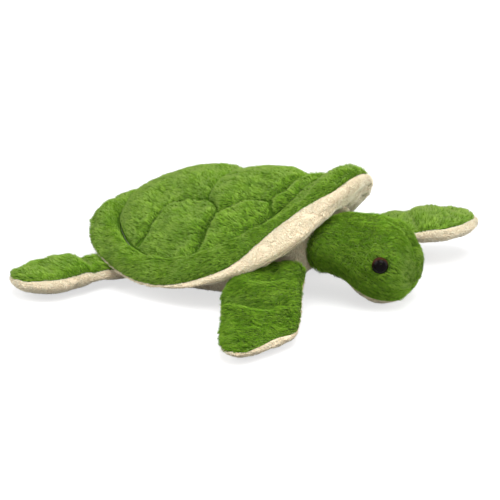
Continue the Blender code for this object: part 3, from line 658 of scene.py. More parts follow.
def rear_limb(side):
    """A rear flipper."""
    return Limb(REAR_ROOT_HALF_WIDTH, REAR_ROOT_HALF_THICK, REAR_REACH, REAR_HALF_WIDTH,
                REAR_ROOT_HALF_THICK, REAR_SHARES, -side,
                limb_matrix(REAR_BEARING, side, REAR_ROOT_Z, REAR_HEADING), REAR_TIP_Z - REAR_ROOT_Z,
                REAR_SHOULDER)


HEAD_MATRIX = (Matrix.Translation((0.0, BODY_MIDDLE_Y - BODY_FRONT - NECK_STAND, NECK_PIVOT_Z))
               @ Matrix.Rotation(HEAD_TURN - math.pi / 2, 4, 'Z') @ Matrix.Rotation(HEAD_PITCH, 4, 'Y'))
LIMBS = {
    "head": Limb(NECK_HALF_WIDTH, NECK_HALF_HEIGHT, HEAD_REACH, HEAD_HALF_WIDTH, HEAD_HALF_HEIGHT,
                 HEAD_SHARES, 1, HEAD_MATRIX, 0.0, swell=NECK_SWELL),
    "front_flipper_right": front_limb(-1, FRONT_RIGHT_TIP_Z, FRONT_RIGHT_HEADING, FRONT_SHARES,
                                      FRONT_RIGHT_SHOULDER, FRONT_RIGHT_TILT),
    "front_flipper_left": front_limb(1, FRONT_LEFT_TIP_Z, FRONT_LEFT_HEADING, FRONT_LEFT_SHARES,
                                     FRONT_LEFT_SHOULDER),
    "rear_flipper_right": rear_limb(-1),
    "rear_flipper_left": rear_limb(1),
}


def limb_dents(name, turn, travel):
    """How far a limb's cloth is drawn in along its creases and dimples."""
    limb = LIMBS[name]
    return drawn_in(limb.local(turn, travel),
                    [(limb.local(*(np.array(route, float).T * ((math.radians(1),), (MM,)))), depth, reach)
                     for route, depth, reach in LIMB_DENTS[name]])


def limb_surface(name, turn, travel, inset):
    """A limb's cloth at an inset, in the turtle's frame."""
    limb = LIMBS[name]
    points = limb.local(turn, travel)
    calm = 1 - (1 - CREAM_CALM_SHARE) * eased(-np.sin(turn) * 3)
    relief = calm * moved(name, turn, travel) - limb_dents(name, turn, travel)
    normals = surface_normals(limb.local, turn, travel)
    return limb.to_world(points + normals * (relief - inset)[..., None])


# Body

BODY_TRAVELS = travels(BODY_PROFILE_SHARES, BODY_HALF_WIDTH, BODY_TOP_Z - BODY_WIDEST_Z,
                       BODY_WIDEST_Z + BELLY_PRESS)


def body_base(turn, travel):
    """The body bag's outside, pressed flat where it lies."""
    share, over, under = profile_at(travel, BODY_TRAVELS, BODY_PROFILE_SHARES)
    radius = body_radius(np.abs(turn)) * np.clip(share, 0.0, None)
    bow = BODY_BOW_RISE * eased((np.abs(turn) - BOW_BEARING) / (math.pi - BOW_BEARING))
    bow = bow * eased((share - BOW_START_SHARE) / (1 - BOW_START_SHARE))
    z = BODY_WIDEST_Z + (BODY_TOP_Z - BODY_WIDEST_Z) * over - (BODY_WIDEST_Z + BELLY_PRESS) * under + bow
    return np.stack([radius * np.sin(turn), BODY_MIDDLE_Y + radius * np.cos(turn), z], -1)


def turned_apart(angle):
    """Size of an angle between two turns, at most half a turn."""
    return np.abs((angle + math.pi) % (2 * math.pi) - math.pi)


def pressed_in(points, limb, inset):
    """Moves points back along a limb, out of the pocket that its root swings in.

    The pocket is half of a drawn-out ball about the pivot, and its mouth flares.
    """
    here = limb.to_local(points)
    apart = turned_apart(np.arctan2(here[..., 2], here[..., 1]) - NECK_SWELL_TURN)
    swell = limb.swell * eased(1 - apart / NECK_SWELL_SPREAD)
    width, thick = [size + POCKET_CLEAR + inset for size in limb.root]
    level = here[..., 2] - limb.tilt * np.clip(here[..., 1] / width, 0.0, 1.0)
    height = thick + np.where(level > 0, limb.shoulder, 0.0)
    ring = np.hypot(here[..., 1] / (width + swell), level / (height + swell))
    flare = np.clip(ring - 1, 0.0, None) * POCKET_FLARE
    back = thick * (flare - np.sqrt(np.clip(1 - ring ** 2, 0.0, None)))
    shift = np.where(here[..., 0] < -2 * thick, 0.0, np.minimum(back - here[..., 0], 0.0))
    return limb.to_world(here + np.stack([shift, 0 * shift, 0 * shift], -1)), -shift


def body_surface(turn, travel, inset):
    """The body's cloth at an inset, under the shell, with a pocket for each limb's root."""
    points = body_base(turn, travel)
    relief = CREAM_CALM_SHARE * moved("body", turn, travel)
    points = points + surface_normals(body_base, turn, travel) * (relief - inset)[..., None]
    points[..., 2] = np.maximum(points[..., 2], inset + FLOOR_CLEAR - NAP)
    roof = under_height(points) + 2 * NAP - inset - ROOF_CLEAR
    points[..., 2] = np.minimum(points[..., 2], roof)
    pressed = np.zeros(points.shape[:-1])
    for limb in LIMBS.values():
        points, depth = pressed_in(points, limb, inset)
        pressed = np.maximum(pressed, depth)
    return points, pressed


# Meshes

def mesh_of(name, points, faces, attributes=()):
    """A mesh of equal-sided faces from arrays, with its point attributes."""
    mesh = bpy.data.meshes.new(name)
    mesh.vertices.add(len(points))
    mesh.vertices.foreach_set("co", np.ascontiguousarray(points, np.float32).ravel())
    mesh.loops.add(faces.size)
    mesh.loops.foreach_set("vertex_index", np.ascontiguousarray(faces, np.int32).ravel())
    mesh.polygons.add(len(faces))
    mesh.polygons.foreach_set("loop_start", np.arange(0, faces.size, faces.shape[1], dtype=np.int32))
    mesh.update(calc_edges=True)
    for title, values in attributes:
        layer = mesh.attributes.new(title, 'FLOAT', 'POINT')
        layer.data.foreach_set("value", np.ascontiguousarray(values, np.float32).ravel())
    return mesh


def show(name, mesh, material):
    """Puts a mesh in the scene, smooth, with its material."""
    thing = bpy.data.objects.new(name, mesh)
    bpy.context.scene.collection.objects.link(thing)
    mesh.materials.append(material)
    mesh.shade_smooth()
    return thing


def grid_faces(rows, columns, wrap):
    """Four-sided faces over a grid of points."""
    last = columns if wrap else columns - 1
    row, column = np.meshgrid(np.arange(rows - 1), np.arange(last), indexing="ij")
    beside = (column + 1) % columns
    corners = (row * columns + column, (row + 1) * columns + column,
               (row + 1) * columns + beside, row * columns + beside)
    return np.stack([corner.ravel() for corner in corners], -1)


def strip_faces(outer, inner):
    """Faces between two lines of point numbers."""
    return np.stack([outer[:-1], outer[1:], inner[1:], inner[:-1]], -1)


def closed_sheet(name, outer, inner, wrap):
    """One closed body between an outer and an inner grid, its open edges joined by strips."""
    rows, columns = outer.shape[:2]
    number = np.arange(rows * columns).reshape(rows, columns)
    under = number + rows * columns
    faces = grid_faces(rows, columns, wrap)
    loop = np.append(np.arange(columns), 0) if wrap else np.arange(columns)
    faces = [faces, faces[:, ::-1] + rows * columns,
             strip_faces(number[0, loop][::-1], under[0, loop][::-1]),
             strip_faces(number[-1, loop], under[-1, loop])]
    if not wrap:
        faces += [strip_faces(number[:, 0], under[:, 0]), strip_faces(number[::-1, -1], under[::-1, -1])]
    points = np.concatenate([outer.reshape(-1, 3), inner.reshape(-1, 3)])
    return sealed(mesh_of(name, points, np.concatenate(faces)))


def sealed(mesh):
    """The same mesh with its seams and poles merged and its faces turned outward."""
    bm = bmesh.new()
    bm.from_mesh(mesh)
    bmesh.ops.remove_doubles(bm, verts=bm.verts, dist=1e-6)
    bmesh.ops.dissolve_degenerate(bm, edges=bm.edges, dist=1e-7)
    if bm.calc_volume(signed=True) < 0:
        bmesh.ops.reverse_faces(bm, faces=bm.faces)
    bm.to_mesh(mesh)
    bm.free()
    return mesh


def closed_ball(name, points):
    """One closed body from a grid that goes right round, whose first and last rows are points."""
    return sealed(mesh_of(name, points.reshape(-1, 3), grid_faces(*points.shape[:2], True)))


# Cloth simulation

MOVES = {}


def moved(name, turn, travel):
    """How far a bag's simulated cloth stands out at each place, read between its four nearest samples."""
    if name not in MOVES:
        return np.zeros(np.broadcast(turn, travel).shape)
    field, end = MOVES[name]
    rows, columns = field.shape
    column = ((turn + math.pi) / (2 * math.pi) * columns) % columns
    row = np.clip(travel / end * (rows - 1), 0.0, rows - 1.001)
    left, top = np.floor(column).astype(int) % columns, np.floor(row).astype(int)
    over, down = column - np.floor(column), row - top
    beside = (left + 1) % columns
    upper = field[top, left] * (1 - over) + field[top, beside] * over
    lower = field[top + 1, left] * (1 - over) + field[top + 1, beside] * over
    return upper * (1 - down) + lower * down


def positions(mesh):
    """The places of a mesh's points."""
    flat = np.empty(len(mesh.vertices) * 3, np.float32)
    mesh.vertices.foreach_get("co", flat)
    return flat.reshape(-1, 3).astype(float)


def tree_of(points):
    """A search tree over points."""
    tree = KDTree(len(points))
    for number, point in enumerate(points):
        tree.insert(point, number)
    tree.balance()
    return tree


def blow_up(name, grid, held, end):
    """Runs Blender's Cloth on a bag, and keeps how far each point of its grid moves out.

    The cloth is cut larger than the bag, blown up, and held at its seams, so that it puckers there.
    Each point takes the mean move of its four nearest, weighted by the inverse square of their
    distance, along its normal and within a limit. The bag's own mean move is taken off.
    """
    scene = bpy.context.scene
    whole = bpy.data.objects.new(name + "_whole", closed_ball(name + "_whole", grid))
    scene.collection.objects.link(whole)
    even = whole.modifiers.new("even", 'REMESH')
    even.mode = 'VOXEL'
    even.voxel_size = BAG_VOXEL
    mesh = bpy.data.meshes.new_from_object(whole.evaluated_get(bpy.context.evaluated_depsgraph_get()))
    bpy.data.objects.remove(whole)
    bag = bpy.data.objects.new(name + "_bag", mesh)
    scene.collection.objects.link(bag)
    start = positions(mesh)
    places = tree_of(grid.reshape(-1, 3))
    pinned = [number for number, point in enumerate(start) if held.flat[places.find(point)[1]]]
    bag.vertex_groups.new(name="held").add(pinned, 1.0, 'REPLACE')
    cloth = bag.modifiers.new("cloth", 'CLOTH')
    cloth.settings.vertex_group_mass = "held"
    cloth.settings.shrink_min = -BAG_SWELL
    cloth.settings.use_pressure = True
    cloth.settings.uniform_pressure_force = BAG_PRESSURE
    cloth.settings.effector_weights.gravity = 0.0
    cloth.point_cache.frame_end = BAG_FRAMES
    for frame_number in range(1, BAG_FRAMES + 1):
        scene.frame_set(frame_number)
    moves = positions(bag.evaluated_get(bpy.context.evaluated_depsgraph_get()).data) - start
    bpy.data.objects.remove(bag)
    scene.frame_set(1)
    tree = tree_of(start)
    near = np.array([[(number, gap) for _, number, gap in tree.find_n(point, 4)]
                     for point in grid.reshape(-1, 3)])
    weights = 1 / (near[..., 1] + BAG_VOXEL / 4) ** 2
    move = (moves[near[..., 0].astype(int)] * weights[..., None]).sum(1) / weights.sum(1)[:, None]
    out = (move.reshape(grid.shape) * grid_normals(grid, True)).sum(-1)
    out = np.where(held, 0.0, np.clip(out, -BAG_MOVE, BAG_MOVE))
    MOVES[name] = (out - out[~held].mean(), end)


def box_middle(node):
    """The middle of a node's box."""
    return sum(np.array(corner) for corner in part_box(node)) / 2


def eye_middle(side):
    """The middle of an eye."""
    return box_middle("eye_" + side)


def eye_out(side):
    """The way that an eye looks: from its washer's middle to its own."""
    return unit(eye_middle(side) - box_middle("eye_washer_" + side))


def limb_held(name, limb, turn, travel, points, grid):
    """Whether each point of a limb's bag is held: at its root, along its seams and round its eyes."""
    girth = np.linalg.norm(points[..., 1:], axis=-1)
    held = travel < limb.pivot_travel * 1.1
    for _, _, edges, (start, stop) in limb_panels(name):
        for edge in edges(travel):
            near = turned_apart(turn - edge) * girth < SEAM_HOLD
            held = held | ((travel >= start) & (travel <= stop) & near)
    for side in SIDES if name == "head" else ():
        held = held | (np.linalg.norm(grid - eye_middle(side), axis=-1) < EYE_RADIUS + SEAM_HOLD)
    return held


def simulate():
    """Blows up the shell, the body and each limb, held along their seams."""
    turn, travel = round_grid(140, 84, SHELL_END)
    base, plan = shell_base(turn, travel)
    relief, gap = shell_relief(turn, travel, plan)
    held = (gap < SEAM_HOLD) | (np.abs(travel - rim_seam(turn)) < SEAM_HOLD)
    blow_up("shell", base + grid_normals(base, True) * relief[..., None],
            held | (travel > EDGE_TRAVEL + UNDERSIDE_HOLD), SHELL_END)
    turn, travel = round_grid(96, 60, BODY_TRAVELS[-1])
    grid, pressed = body_surface(turn, travel, 0.0)
    height = grid[..., 2]
    held = (under_height(grid) - height < ROOF_HOLD) | (pressed > POCKET_HOLD)
    held = held | (height < FLOOR_HOLD) | (np.abs(height - BELLY_SEAM_Z) < BELLY_HOLD)
    blow_up("body", grid, held, BODY_TRAVELS[-1])
    for name, limb in LIMBS.items():
        turn, travel = round_grid(60, 60, limb.end)
        points = limb.local(turn, travel)
        grid = limb.to_world(points - grid_normals(points, True) * limb_dents(name, turn, travel)[..., None])
        blow_up(name, grid, limb_held(name, limb, turn, travel, points, grid), limb.end)


# Pile

def scattered(rng, fields, weights, count):
    """Values of several grid fields at random places, spread evenly over the weighted area."""
    rows, columns = weights.shape
    chance = np.cumsum(weights.ravel())
    cell = np.searchsorted(chance, rng.random(count) * chance[-1])
    row, column = np.divmod(np.minimum(cell, weights.size - 1), columns)
    beside = (column + 1) % fields[0].shape[1]
    down, over = rng.random((2, count))
    shares = ((1 - down) * (1 - over), down * (1 - over), down * over, (1 - down) * over)
    corners = ((row, column), (row + 1, column), (row + 1, beside), (row, beside))
    return [sum((share[:, None] if field.ndim == 3 else share) * field[corner]
                for share, corner in zip(shares, corners)) for field in fields]


def columns_of(values, wrap):
    """A grid's values at each column, and at the next one."""
    return (values, np.roll(values, -1, 1)) if wrap else (values[:, :-1], values[:, 1:])


def cell_areas(points, wrap):
    """Area of each cell of a grid: half the cross product of its diagonals."""
    here, beside = columns_of(points, wrap)
    return np.linalg.norm(np.cross(beside[1:] - here[:-1], here[1:] - beside[:-1]), axis=-1) / 2


def tufts(grid, comb, dye, seed, wrap, keep, length=1.0, lift=0.0):
    """Closed three-sided spikes rooted on a grid, lying along the comb and drawn into clumps.

    Each spike leans from the normal towards the comb, turned aside by its clump's sway and its
    own. Tips then draw towards the mean tip of their clump, a cell long along the comb.
    Returns their points, four to a spike, and the point attributes.
    """
    pile_length, pile_width, density = PILE[dye]
    rng = np.random.default_rng(seed)
    here, beside = columns_of(keep, wrap)
    weights = np.minimum(np.minimum(here[1:], here[:-1]), np.minimum(beside[1:], beside[:-1]))
    weights = cell_areas(grid, wrap) * weights
    count = int(weights.sum() * density)
    length, lift = np.broadcast_to(length, keep.shape), np.broadcast_to(lift, keep.shape)
    fields = (grid, grid_normals(grid, wrap), comb, length, lift)
    root, normal, combed, reach, upright = scattered(rng, fields, weights, count)
    normal = unit(normal)
    flat = unit(combed - (combed * normal).sum(-1, keepdims=True) * normal)
    side = np.cross(flat, normal)
    clump = clumps_of(root, flat, side)
    clumps = clump.max() + 1
    brushed = brush_waves(root)
    sway = rng.normal(0, CLUMP_SWAY, clumps)[clump] + rng.normal(0, TUFT_SWAY, count)
    sway = sway + BRUSH_SWAY * brushed[:, 0]
    tone = CLUMP_TONE * rng.normal(size=clumps)[clump] + TUFT_TONE * rng.normal(size=count)
    tone = np.clip(0.5 + tone, 0, 1)
    lean = PILE_LEAN + rng.normal(0, LEAN_SPREAD, clumps)[clump] + rng.normal(0, LEAN_SPREAD, count)
    lean = (lean + BRUSH_LEAN * brushed[:, 1]) * (1 - FRINGE_LIFT * upright)
    heading = flat * np.cos(sway)[:, None] + side * np.sin(sway)[:, None]
    grow = pile_length * reach * rng.uniform(*TUFT_GROW, count) * rng.uniform(*CLUMP_GROW, clumps)[clump]
    tip = root + (normal * np.cos(lean)[:, None] + heading * np.sin(lean)[:, None]) * grow[:, None]
    tally = np.bincount(clump, minlength=clumps)[:, None]
    middle = np.stack([np.bincount(clump, tip[:, axis], clumps) for axis in range(3)], -1) / tally
    tip = tip + CLUMP_PULL_SHARE * (middle[clump] - tip)
    way = unit(tip - root)
    across = unit(np.cross(way, normal))
    width = pile_width * rng.uniform(*TUFT_WIDTHS, count)[:, None]
    points = np.stack([root - across * width / 2, root + across * width / 2,
                       root + np.cross(across, way) * width * RIDGE_SHARE, tip], 1)
    points[..., 2] = np.maximum(points[..., 2], FLOOR_CLEAR)
    return points, np.tile(SPIKE_ALONG, (count, 1)), np.repeat(tone[:, None], 4, 1)


def brush_waves(root):
    """Two slow wavy values for each place, which brush the pile this way and that: sines of sines."""
    bent = root + 9 * MM * np.sin(root[:, [2, 0, 1]] * 95 + root[:, [1, 2, 0]] * 60)
    one = np.sin(bent @ (210.0, 130.0, 170.0)) * np.cos(bent @ (-90.0, 240.0, 110.0))
    other = np.sin(bent @ (150.0, -190.0, 220.0) + 1.0) * np.cos(bent @ (230.0, 100.0, -120.0))
    return np.stack([one, other], -1)


def clumps_of(root, flat, side):
    """A clump number for each root: cells along and across the comb, within blocks with wavy walls."""
    wavy = root + 4 * MM * np.sin(root[:, [1, 2, 0]] * 310 + root[:, [2, 0, 1]] * 170)
    block = np.floor(wavy / CLUMP_BLOCK)
    here = root - (block + 0.5) * CLUMP_BLOCK
    cell = np.stack([(here * flat).sum(-1) / CLUMP_ALONG, (here * side).sum(-1) / CLUMP_ACROSS], -1)
    cell = np.concatenate([np.floor(cell), block], -1).astype(np.int64)
    key = (cell * (73856093, 19349663, 83492791, 49979687, 67867979)).sum(-1)
    return np.unique(key, return_inverse=True)[1]


def pile_mesh(name, points, along, tone):
    """The spikes as one mesh, each with a cell of its own in its UV map."""
    count = len(points)
    faces = (SPIKE_FACES + np.arange(count)[:, None, None] * 4).reshape(-1, 3)
    mesh = mesh_of(name, points.reshape(-1, 3), faces, (("along", along), ("tone", tone)))
    side = math.ceil(math.sqrt(count))
    cell = np.stack(np.divmod(np.arange(count), side)[::-1], -1)[:, None]
    place = (cell + SPIKE_CORNERS) / side
    layer = mesh.uv_layers.new(name="OFBake")
    layer.data.foreach_set("uv", place[:, SPIKE_FACES].astype(np.float32).ravel())
    return mesh


# Materials

def feed(tree, node, feeds=(), values=()):
    """Sets a node's inputs to values, and links what feeds them."""
    for title, value in dict(values).items():
        node.inputs[title].default_value = value
    for title, source in dict(feeds).items():
        tree.links.new(source, node.inputs[title])
    return node


def put(tree, kind, output, feeds=(), values=(), **settings):
    """Adds a shader node with its settings, values and feeds, and gives the named output."""
    node = tree.nodes.new("ShaderNode" + kind)
    for title, value in settings.items():
        setattr(node, title, value)
    return feed(tree, node, feeds, values).outputs[output]


def math_of(tree, operation, first, second):
    """Two values put together by an operation."""
    return put(tree, "Math", "Value", {0: first, 1: second}, operation=operation)


def mixed(tree, factor, first, second):
    """A mix of two colours by a factor."""
    return put(tree, "Mix", "Result", {"Factor": factor, "A": first, "B": second}, data_type='RGBA')


def ramp(tree, source, first, second, places=(0.0, 1.0)):
    """A ramp from one colour to another between two places."""
    node = tree.nodes.new("ShaderNodeValToRGB")
    for stop, place, colour in zip(node.color_ramp.elements, places, (first, second)):
        stop.position = place
        stop.color = (*colour, 1.0)
    return feed(tree, node, {"Fac": source}).outputs["Color"]


def pile_shades():
    """A group that colours pile: dark at the root as painted shade among the fibres, light at the tip, varied
    by clump and place.
    """
    group = bpy.data.node_groups.new("pile_shades", 'ShaderNodeTree')
    for name, way in (("Shaded_root", 'INPUT'), ("Tip", 'INPUT'), ("Faded", 'INPUT'), ("Colour", 'OUTPUT')):
        group.interface.new_socket(name=name, in_out=way, socket_type='NodeSocketColor')
    dyes, end = group.nodes.new('NodeGroupInput').outputs, group.nodes.new('NodeGroupOutput')
    along, tone = [put(group, "Attribute", "Fac", attribute_name=name) for name in ("along", "tone")]
    patch = put(group, "TexNoise", "Fac", {"Vector": put(group, "TexCoord", "Object")},
                {"Scale": 38.0, "Detail": 3.0})
    # The root colour is painted shade: darker than the tip, where the fibres shade each other near the cloth.
    rise = put(group, "MapRange", "Result", {"Value": along}, {"From Max": 0.75})
    body = mixed(group, rise, dyes["Shaded_root"], dyes["Tip"])
    spread = put(group, "MapRange", "Result", {"Value": math_of(group, 'ADD', tone, patch)},
                 {"From Min": 0.65, "From Max": 1.45})
    faded = mixed(group, math_of(group, 'MULTIPLY', spread, rise), body, dyes["Faded"])
    feed(group, end, {"Colour": faded})
    return group


def material(name, roughness, sheen=0.0, sheen_tint=(1.0, 1.0, 1.0), specular=0.5):
    """A material, its node tree and its shader, whose own constants are set."""
    made = bpy.data.materials.new(name)
    made.use_nodes = True
    tree = made.node_tree
    return made, tree, feed(tree, tree.nodes["Principled BSDF"], (),
                            {"Roughness": roughness, "Specular IOR Level": specular,
                             "Sheen Weight": sheen, "Sheen Tint": (*sheen_tint, 1.0)})


def pile_material(name, group, root, tip, faded, sheen_tint):
    """Plush pile of one dye."""
    made, tree, shader = material(name, 0.85, 0.27, sheen_tint, 0.10)
    shades = tree.nodes.new('ShaderNodeGroup')
    shades.node_tree = group
    feed(tree, shades, (), {"Shaded_root": (*root, 1.0), "Tip": (*tip, 1.0), "Faded": (*faded, 1.0)})
    feed(tree, shader, {"Base Color": shades.outputs["Colour"]})
    return made


def cloth_material(name, root, tip):
    """The knitted backing under the pile, with short fuzz and a faint stitch."""
    made, tree, shader = material(name, 0.95, 0.2, tip, 0.1)
    fuzz = put(tree, "TexNoise", "Fac", {"Vector": put(tree, "TexCoord", "Object")},
               {"Scale": 900.0, "Detail": 4.0})
    bump = put(tree, "Bump", "Normal", {"Height": fuzz}, {"Strength": 0.5, "Distance": 0.4 * MM})
    feed(tree, shader, {"Base Color": ramp(tree, fuzz, root, tip, (0.35, 0.75)), "Normal": bump})
    return made


SHADES = pile_shades()
# Root colours hold painted shade: darker than the tips, and for cream warmer, for the shade low in the pile.
GREEN_PILE = pile_material("green_plush_pile", SHADES, (0.062, 0.172, 0.003), (0.122, 0.296, 0.006),
                           (0.275, 0.490, 0.036), (0.85, 0.95, 0.38))
CREAM_PILE = pile_material("cream_plush_pile", SHADES, (0.84, 0.71, 0.49), (0.94, 0.87, 0.65),
                           (0.97, 0.91, 0.72), (1.0, 0.95, 0.82))
# The backings are painted darker than their pile: painted shade under the pile and where the pile is left off
# at seams.
GREEN_CLOTH = cloth_material("green_backing_painted_shade", (0.045, 0.105, 0.006), (0.085, 0.180, 0.012))
CREAM_CLOTH = cloth_material("cream_backing_painted_shade", (0.74, 0.60, 0.42), (0.86, 0.74, 0.55))
FIBRE = cloth_material("white_fibre", (0.74, 0.74, 0.72), (0.88, 0.88, 0.86))
DYES = {"green": (GREEN_CLOTH, GREEN_PILE, "green_plush"), "cream": (CREAM_CLOTH, CREAM_PILE, "cream_plush")}


# Pieces

def follow(thing, body):
    """Makes a piece ride on the torso, or, for a limb's piece, bakes its placing into its points."""
    if body not in LIMBS:
        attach(thing, body)
        return
    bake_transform(thing)


def cloth_piece(node, body, dye, outer, inner, wrap):
    """A closed cloth panel that stands for a node."""
    cloth, _, slot = DYES[dye]
    thing = show(node + "_cloth", closed_sheet(node + "_cloth", outer, inner, wrap), cloth)
    follow(thing, body)
    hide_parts(node)


def pile_piece(name, body, dye, spikes, chosen=slice(None)):
    """The pile of a panel, or what of it is chosen, as one piece."""
    _, pile, slot = DYES[dye]
    thing = show(name, pile_mesh(name, *[part[chosen] for part in spikes]), pile)
    follow(thing, body)


def fill_piece(name, body, points, *nodes):
    """Fibre that stuffs a bag, as one closed body."""
    thing = show(name, closed_ball(name, points), FIBRE)
    follow(thing, body)
    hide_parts(*nodes)


def rows_between(start, end, rows):
    """Travels from a start to an end that may differ by column, evenly spaced down the rows."""
    share = np.linspace(0.0, 1.0, rows)[:, None]
    return start + (end - start) * share


def seam_pile(gap, least):
    """Length of the pile by distance to a seam, from its least share at the seam."""
    return least + (1 - least) * eased(gap / SEAM_PILE_REACH)


def make_shell():
    """Scutes, rim and underside of the shell, with their pile, wadding and stuffing."""
    turn = turns(SHELL_COLUMNS)
    ring, seam = ring_seam(turn), rim_seam(turn)
    spans = {"shell_top": (0.0 * turn, ring - SEAM_GAP, 100, "green"),
             "shell_rim": (ring + SEAM_GAP, seam - SEAM_GAP, 40, "green"),
             "shell_underside": (seam + SEAM_GAP, 0.0 * turn + SHELL_END, 84, "cream")}
    for seed, (node, (start, end, rows, dye)) in enumerate(spans.items()):
        travel = rows_between(start, end, rows)
        wide = np.broadcast_to(turn, travel.shape)
        outer, gap = shell_surface(wide, travel, NAP)
        cloth_piece(node, "torso", dye, outer, shell_surface(wide, travel, BACKING)[0], True)
        keep = np.where(under_body(outer) | (gap < QUILT_BARE), 0.0, 1.0)
        comb = np.broadcast_to(REARWARD, outer.shape)
        if node == "shell_rim":
            comb = unit(np.gradient(outer, axis=0)) * 0.6 + REARWARD
        elif node == "shell_underside":
            comb = REARWARD - 0.7 * unit(np.gradient(outer, axis=0) + 1e-9)
        length = seam_pile(np.minimum(gap, np.abs(travel - rim_seam(wide))), SHELL_SEAM_PILE)
        spikes = tufts(outer, comb, dye, seed + 11, True, keep, length)
        right = spikes[0][:, 0, 0] < 0
        pile_piece(node + "_pile_right", "torso", dye, spikes, right)
        pile_piece(node + "_pile_left", "torso", dye, spikes, ~right)
    travel = rows_between(0.0 * turn, 0.0 * turn + SHELL_END, 90)
    over = eased((EDGE_TRAVEL - travel) / WADDING_FADE)
    depth = INSIDE + (WADDING + UNDER_CLOTH) * over
    fill, _ = shell_surface(np.broadcast_to(turn, travel.shape), travel, depth)
    fill_piece("shell_stuffing_fill", "torso", fill, "shell_stuffing")
    travel = rows_between(0.0 * turn, ring - WADDING_MARGIN, 60)
    wide = np.broadcast_to(turn, travel.shape)
    faces = [shell_surface(wide, travel, depth)[0] for depth in (INSIDE, INSIDE + WADDING)]
    sheet = show("shell_wadding_sheet", closed_sheet("shell_wadding_sheet", *faces, True), FIBRE)
    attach(sheet, "torso")
    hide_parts("shell_wadding")


def under_body(points):
    """Whether each point of the shell's underside lies over the body, where no pile shows."""
    out = points[..., :2] - (0.0, BODY_MIDDLE_Y)
    turn = np.arctan2(out[..., 0], out[..., 1])
    inside = np.linalg.norm(out, axis=-1) < body_radius(np.abs(turn)) * UNDER_BODY_SHARE
    return inside & (points[..., 2] < under_height(points) + 4 * MM)


def body_travel_at(turn, height):
    """Travel at which the body's side passes a height, found on a fine profile of each column."""
    places = np.linspace(0.0, BODY_TRAVELS[-1], 600)[:, None] + 0 * turn
    points = body_base(np.broadcast_to(turn, places.shape), places)
    above = points[..., 2] > height(points)
    first = above.shape[0] - 1 - np.argmax(above[::-1], axis=0)
    return places[first, np.arange(places.shape[1])][None, :]


def make_body():
    """Wall, belly panel and stuffing of the body."""
    turn = turns(BODY_COLUMNS)
    seam = body_travel_at(turn, lambda points: BELLY_SEAM_Z)
    roof = body_travel_at(turn, under_height)
    spans = {"body_wall": (np.maximum(roof - ROOF_OVERLAP, WALL_START), seam - SEAM_GAP, 60, 1.0),
             "belly_panel": (seam + SEAM_GAP, 0.0 * turn + BODY_TRAVELS[-1], 36, BELLY_PILE_SHARE)}
    for seed, (node, (start, end, rows, dense)) in enumerate(spans.items()):
        travel = rows_between(start, end, rows)
        wide = np.broadcast_to(turn, travel.shape)
        outer, pressed = body_surface(wide, travel, NAP)
        cloth_piece(node, "torso", "cream", outer, body_surface(wide, travel, BACKING)[0], True)
        roofed = (under_height(outer) - outer[..., 2] < ROOF_BARE) & (travel < roof - ROOF_BARE_TRAVEL)
        bare = roofed | (pressed > POCKET_BARE) | (outer[..., 2] < FLOOR_BARE)
        comb = np.broadcast_to(BODY_COMB, outer.shape)
        pile_piece(node + "_pile", "torso", "cream",
                   tufts(outer, comb, "cream", seed + 21, True, np.where(bare, 0.0, dense)))
    travel = rows_between(0.0 * turn, 0.0 * turn + BODY_TRAVELS[-1], 90)
    fill, _ = body_surface(np.broadcast_to(turn, travel.shape), travel, INSIDE)
    fill_piece("body_stuffing_fill", "torso", fill, "body_stuffing")


def edge_rise(table):
    """A function of travel that gives a seam's angle above the limb's edge."""
    places, degrees = table
    return lambda travel: np.radians(np.interp(travel / MM, places, degrees))


def limb_panels(name):
    """The panels of a limb: name, dye, first and last turn by travel, and first and last travel."""
    limb = LIMBS[name]
    if name == "head":
        return head_panels(limb)
    tables = {"front_flipper_right": FRONT_RIGHT_EDGES, "front_flipper_left": FRONT_LEFT_EDGES}
    leading, trailing = tables.get(name, REAR_EDGES)
    stop = leading[0][-1] * MM
    near, far = [edge_rise(table) for table in (leading, trailing)]
    if name.endswith("left"):
        near, far = far, near
    gap = SIDE_SEAM_GAP
    return ((name + "_top", "green",
             lambda travel: (near(travel) + gap, np.maximum(math.pi - far(travel) - gap, near(travel) + gap)),
             (0.0, stop)),
            (name + "_under", "cream",
             lambda travel: (-math.pi - far(travel) + gap, near(travel) - gap), (0.0, limb.end)))


def head_panels(limb):
    """Right and left of the head over a chin panel, whose seam lies level under the middle."""
    top, bottom, gap = math.pi / 2, -math.pi / 2, TOP_SEAM_GAP

    def chin_half(travel):
        thick = np.maximum(limb.stations(travel)[3], SMALL_THICK)
        return np.arccos(np.clip(CHIN_SEAM_DROP / thick, 0.0, 1.0))

    fine = np.linspace(0.0, limb.end, 2000)
    chin_rows = fine[limb.stations(fine)[3] > CHIN_SEAM_DROP]
    return (("head_right", "green",
             lambda travel: (top + gap + 0 * travel, bottom + 2 * math.pi - chin_half(travel) - gap),
             (0.0, limb.end)),
            ("head_left", "green",
             lambda travel: (bottom + chin_half(travel) + gap, top - gap + 0 * travel), (0.0, limb.end)),
            ("chin_panel", "cream",
             lambda travel: (bottom - chin_half(travel), bottom + chin_half(travel)),
             (chin_rows[0], chin_rows[-1])))


def panel_rows(name, start, end):
    """Travels of a panel's rows, the same for both skins of a flipper and close together at its tip."""
    if name == "head":
        return np.linspace(start, end, 84)
    stop = limb_panels(name)[0][3][1]
    close = stop - 14 * MM
    rows = np.concatenate([np.linspace(0.0, close, 62, endpoint=False), np.linspace(close, stop, 21),
                           np.linspace(stop, LIMBS[name].end, 8)[1:]])
    return rows[rows <= end + SMALL_TRAVEL]


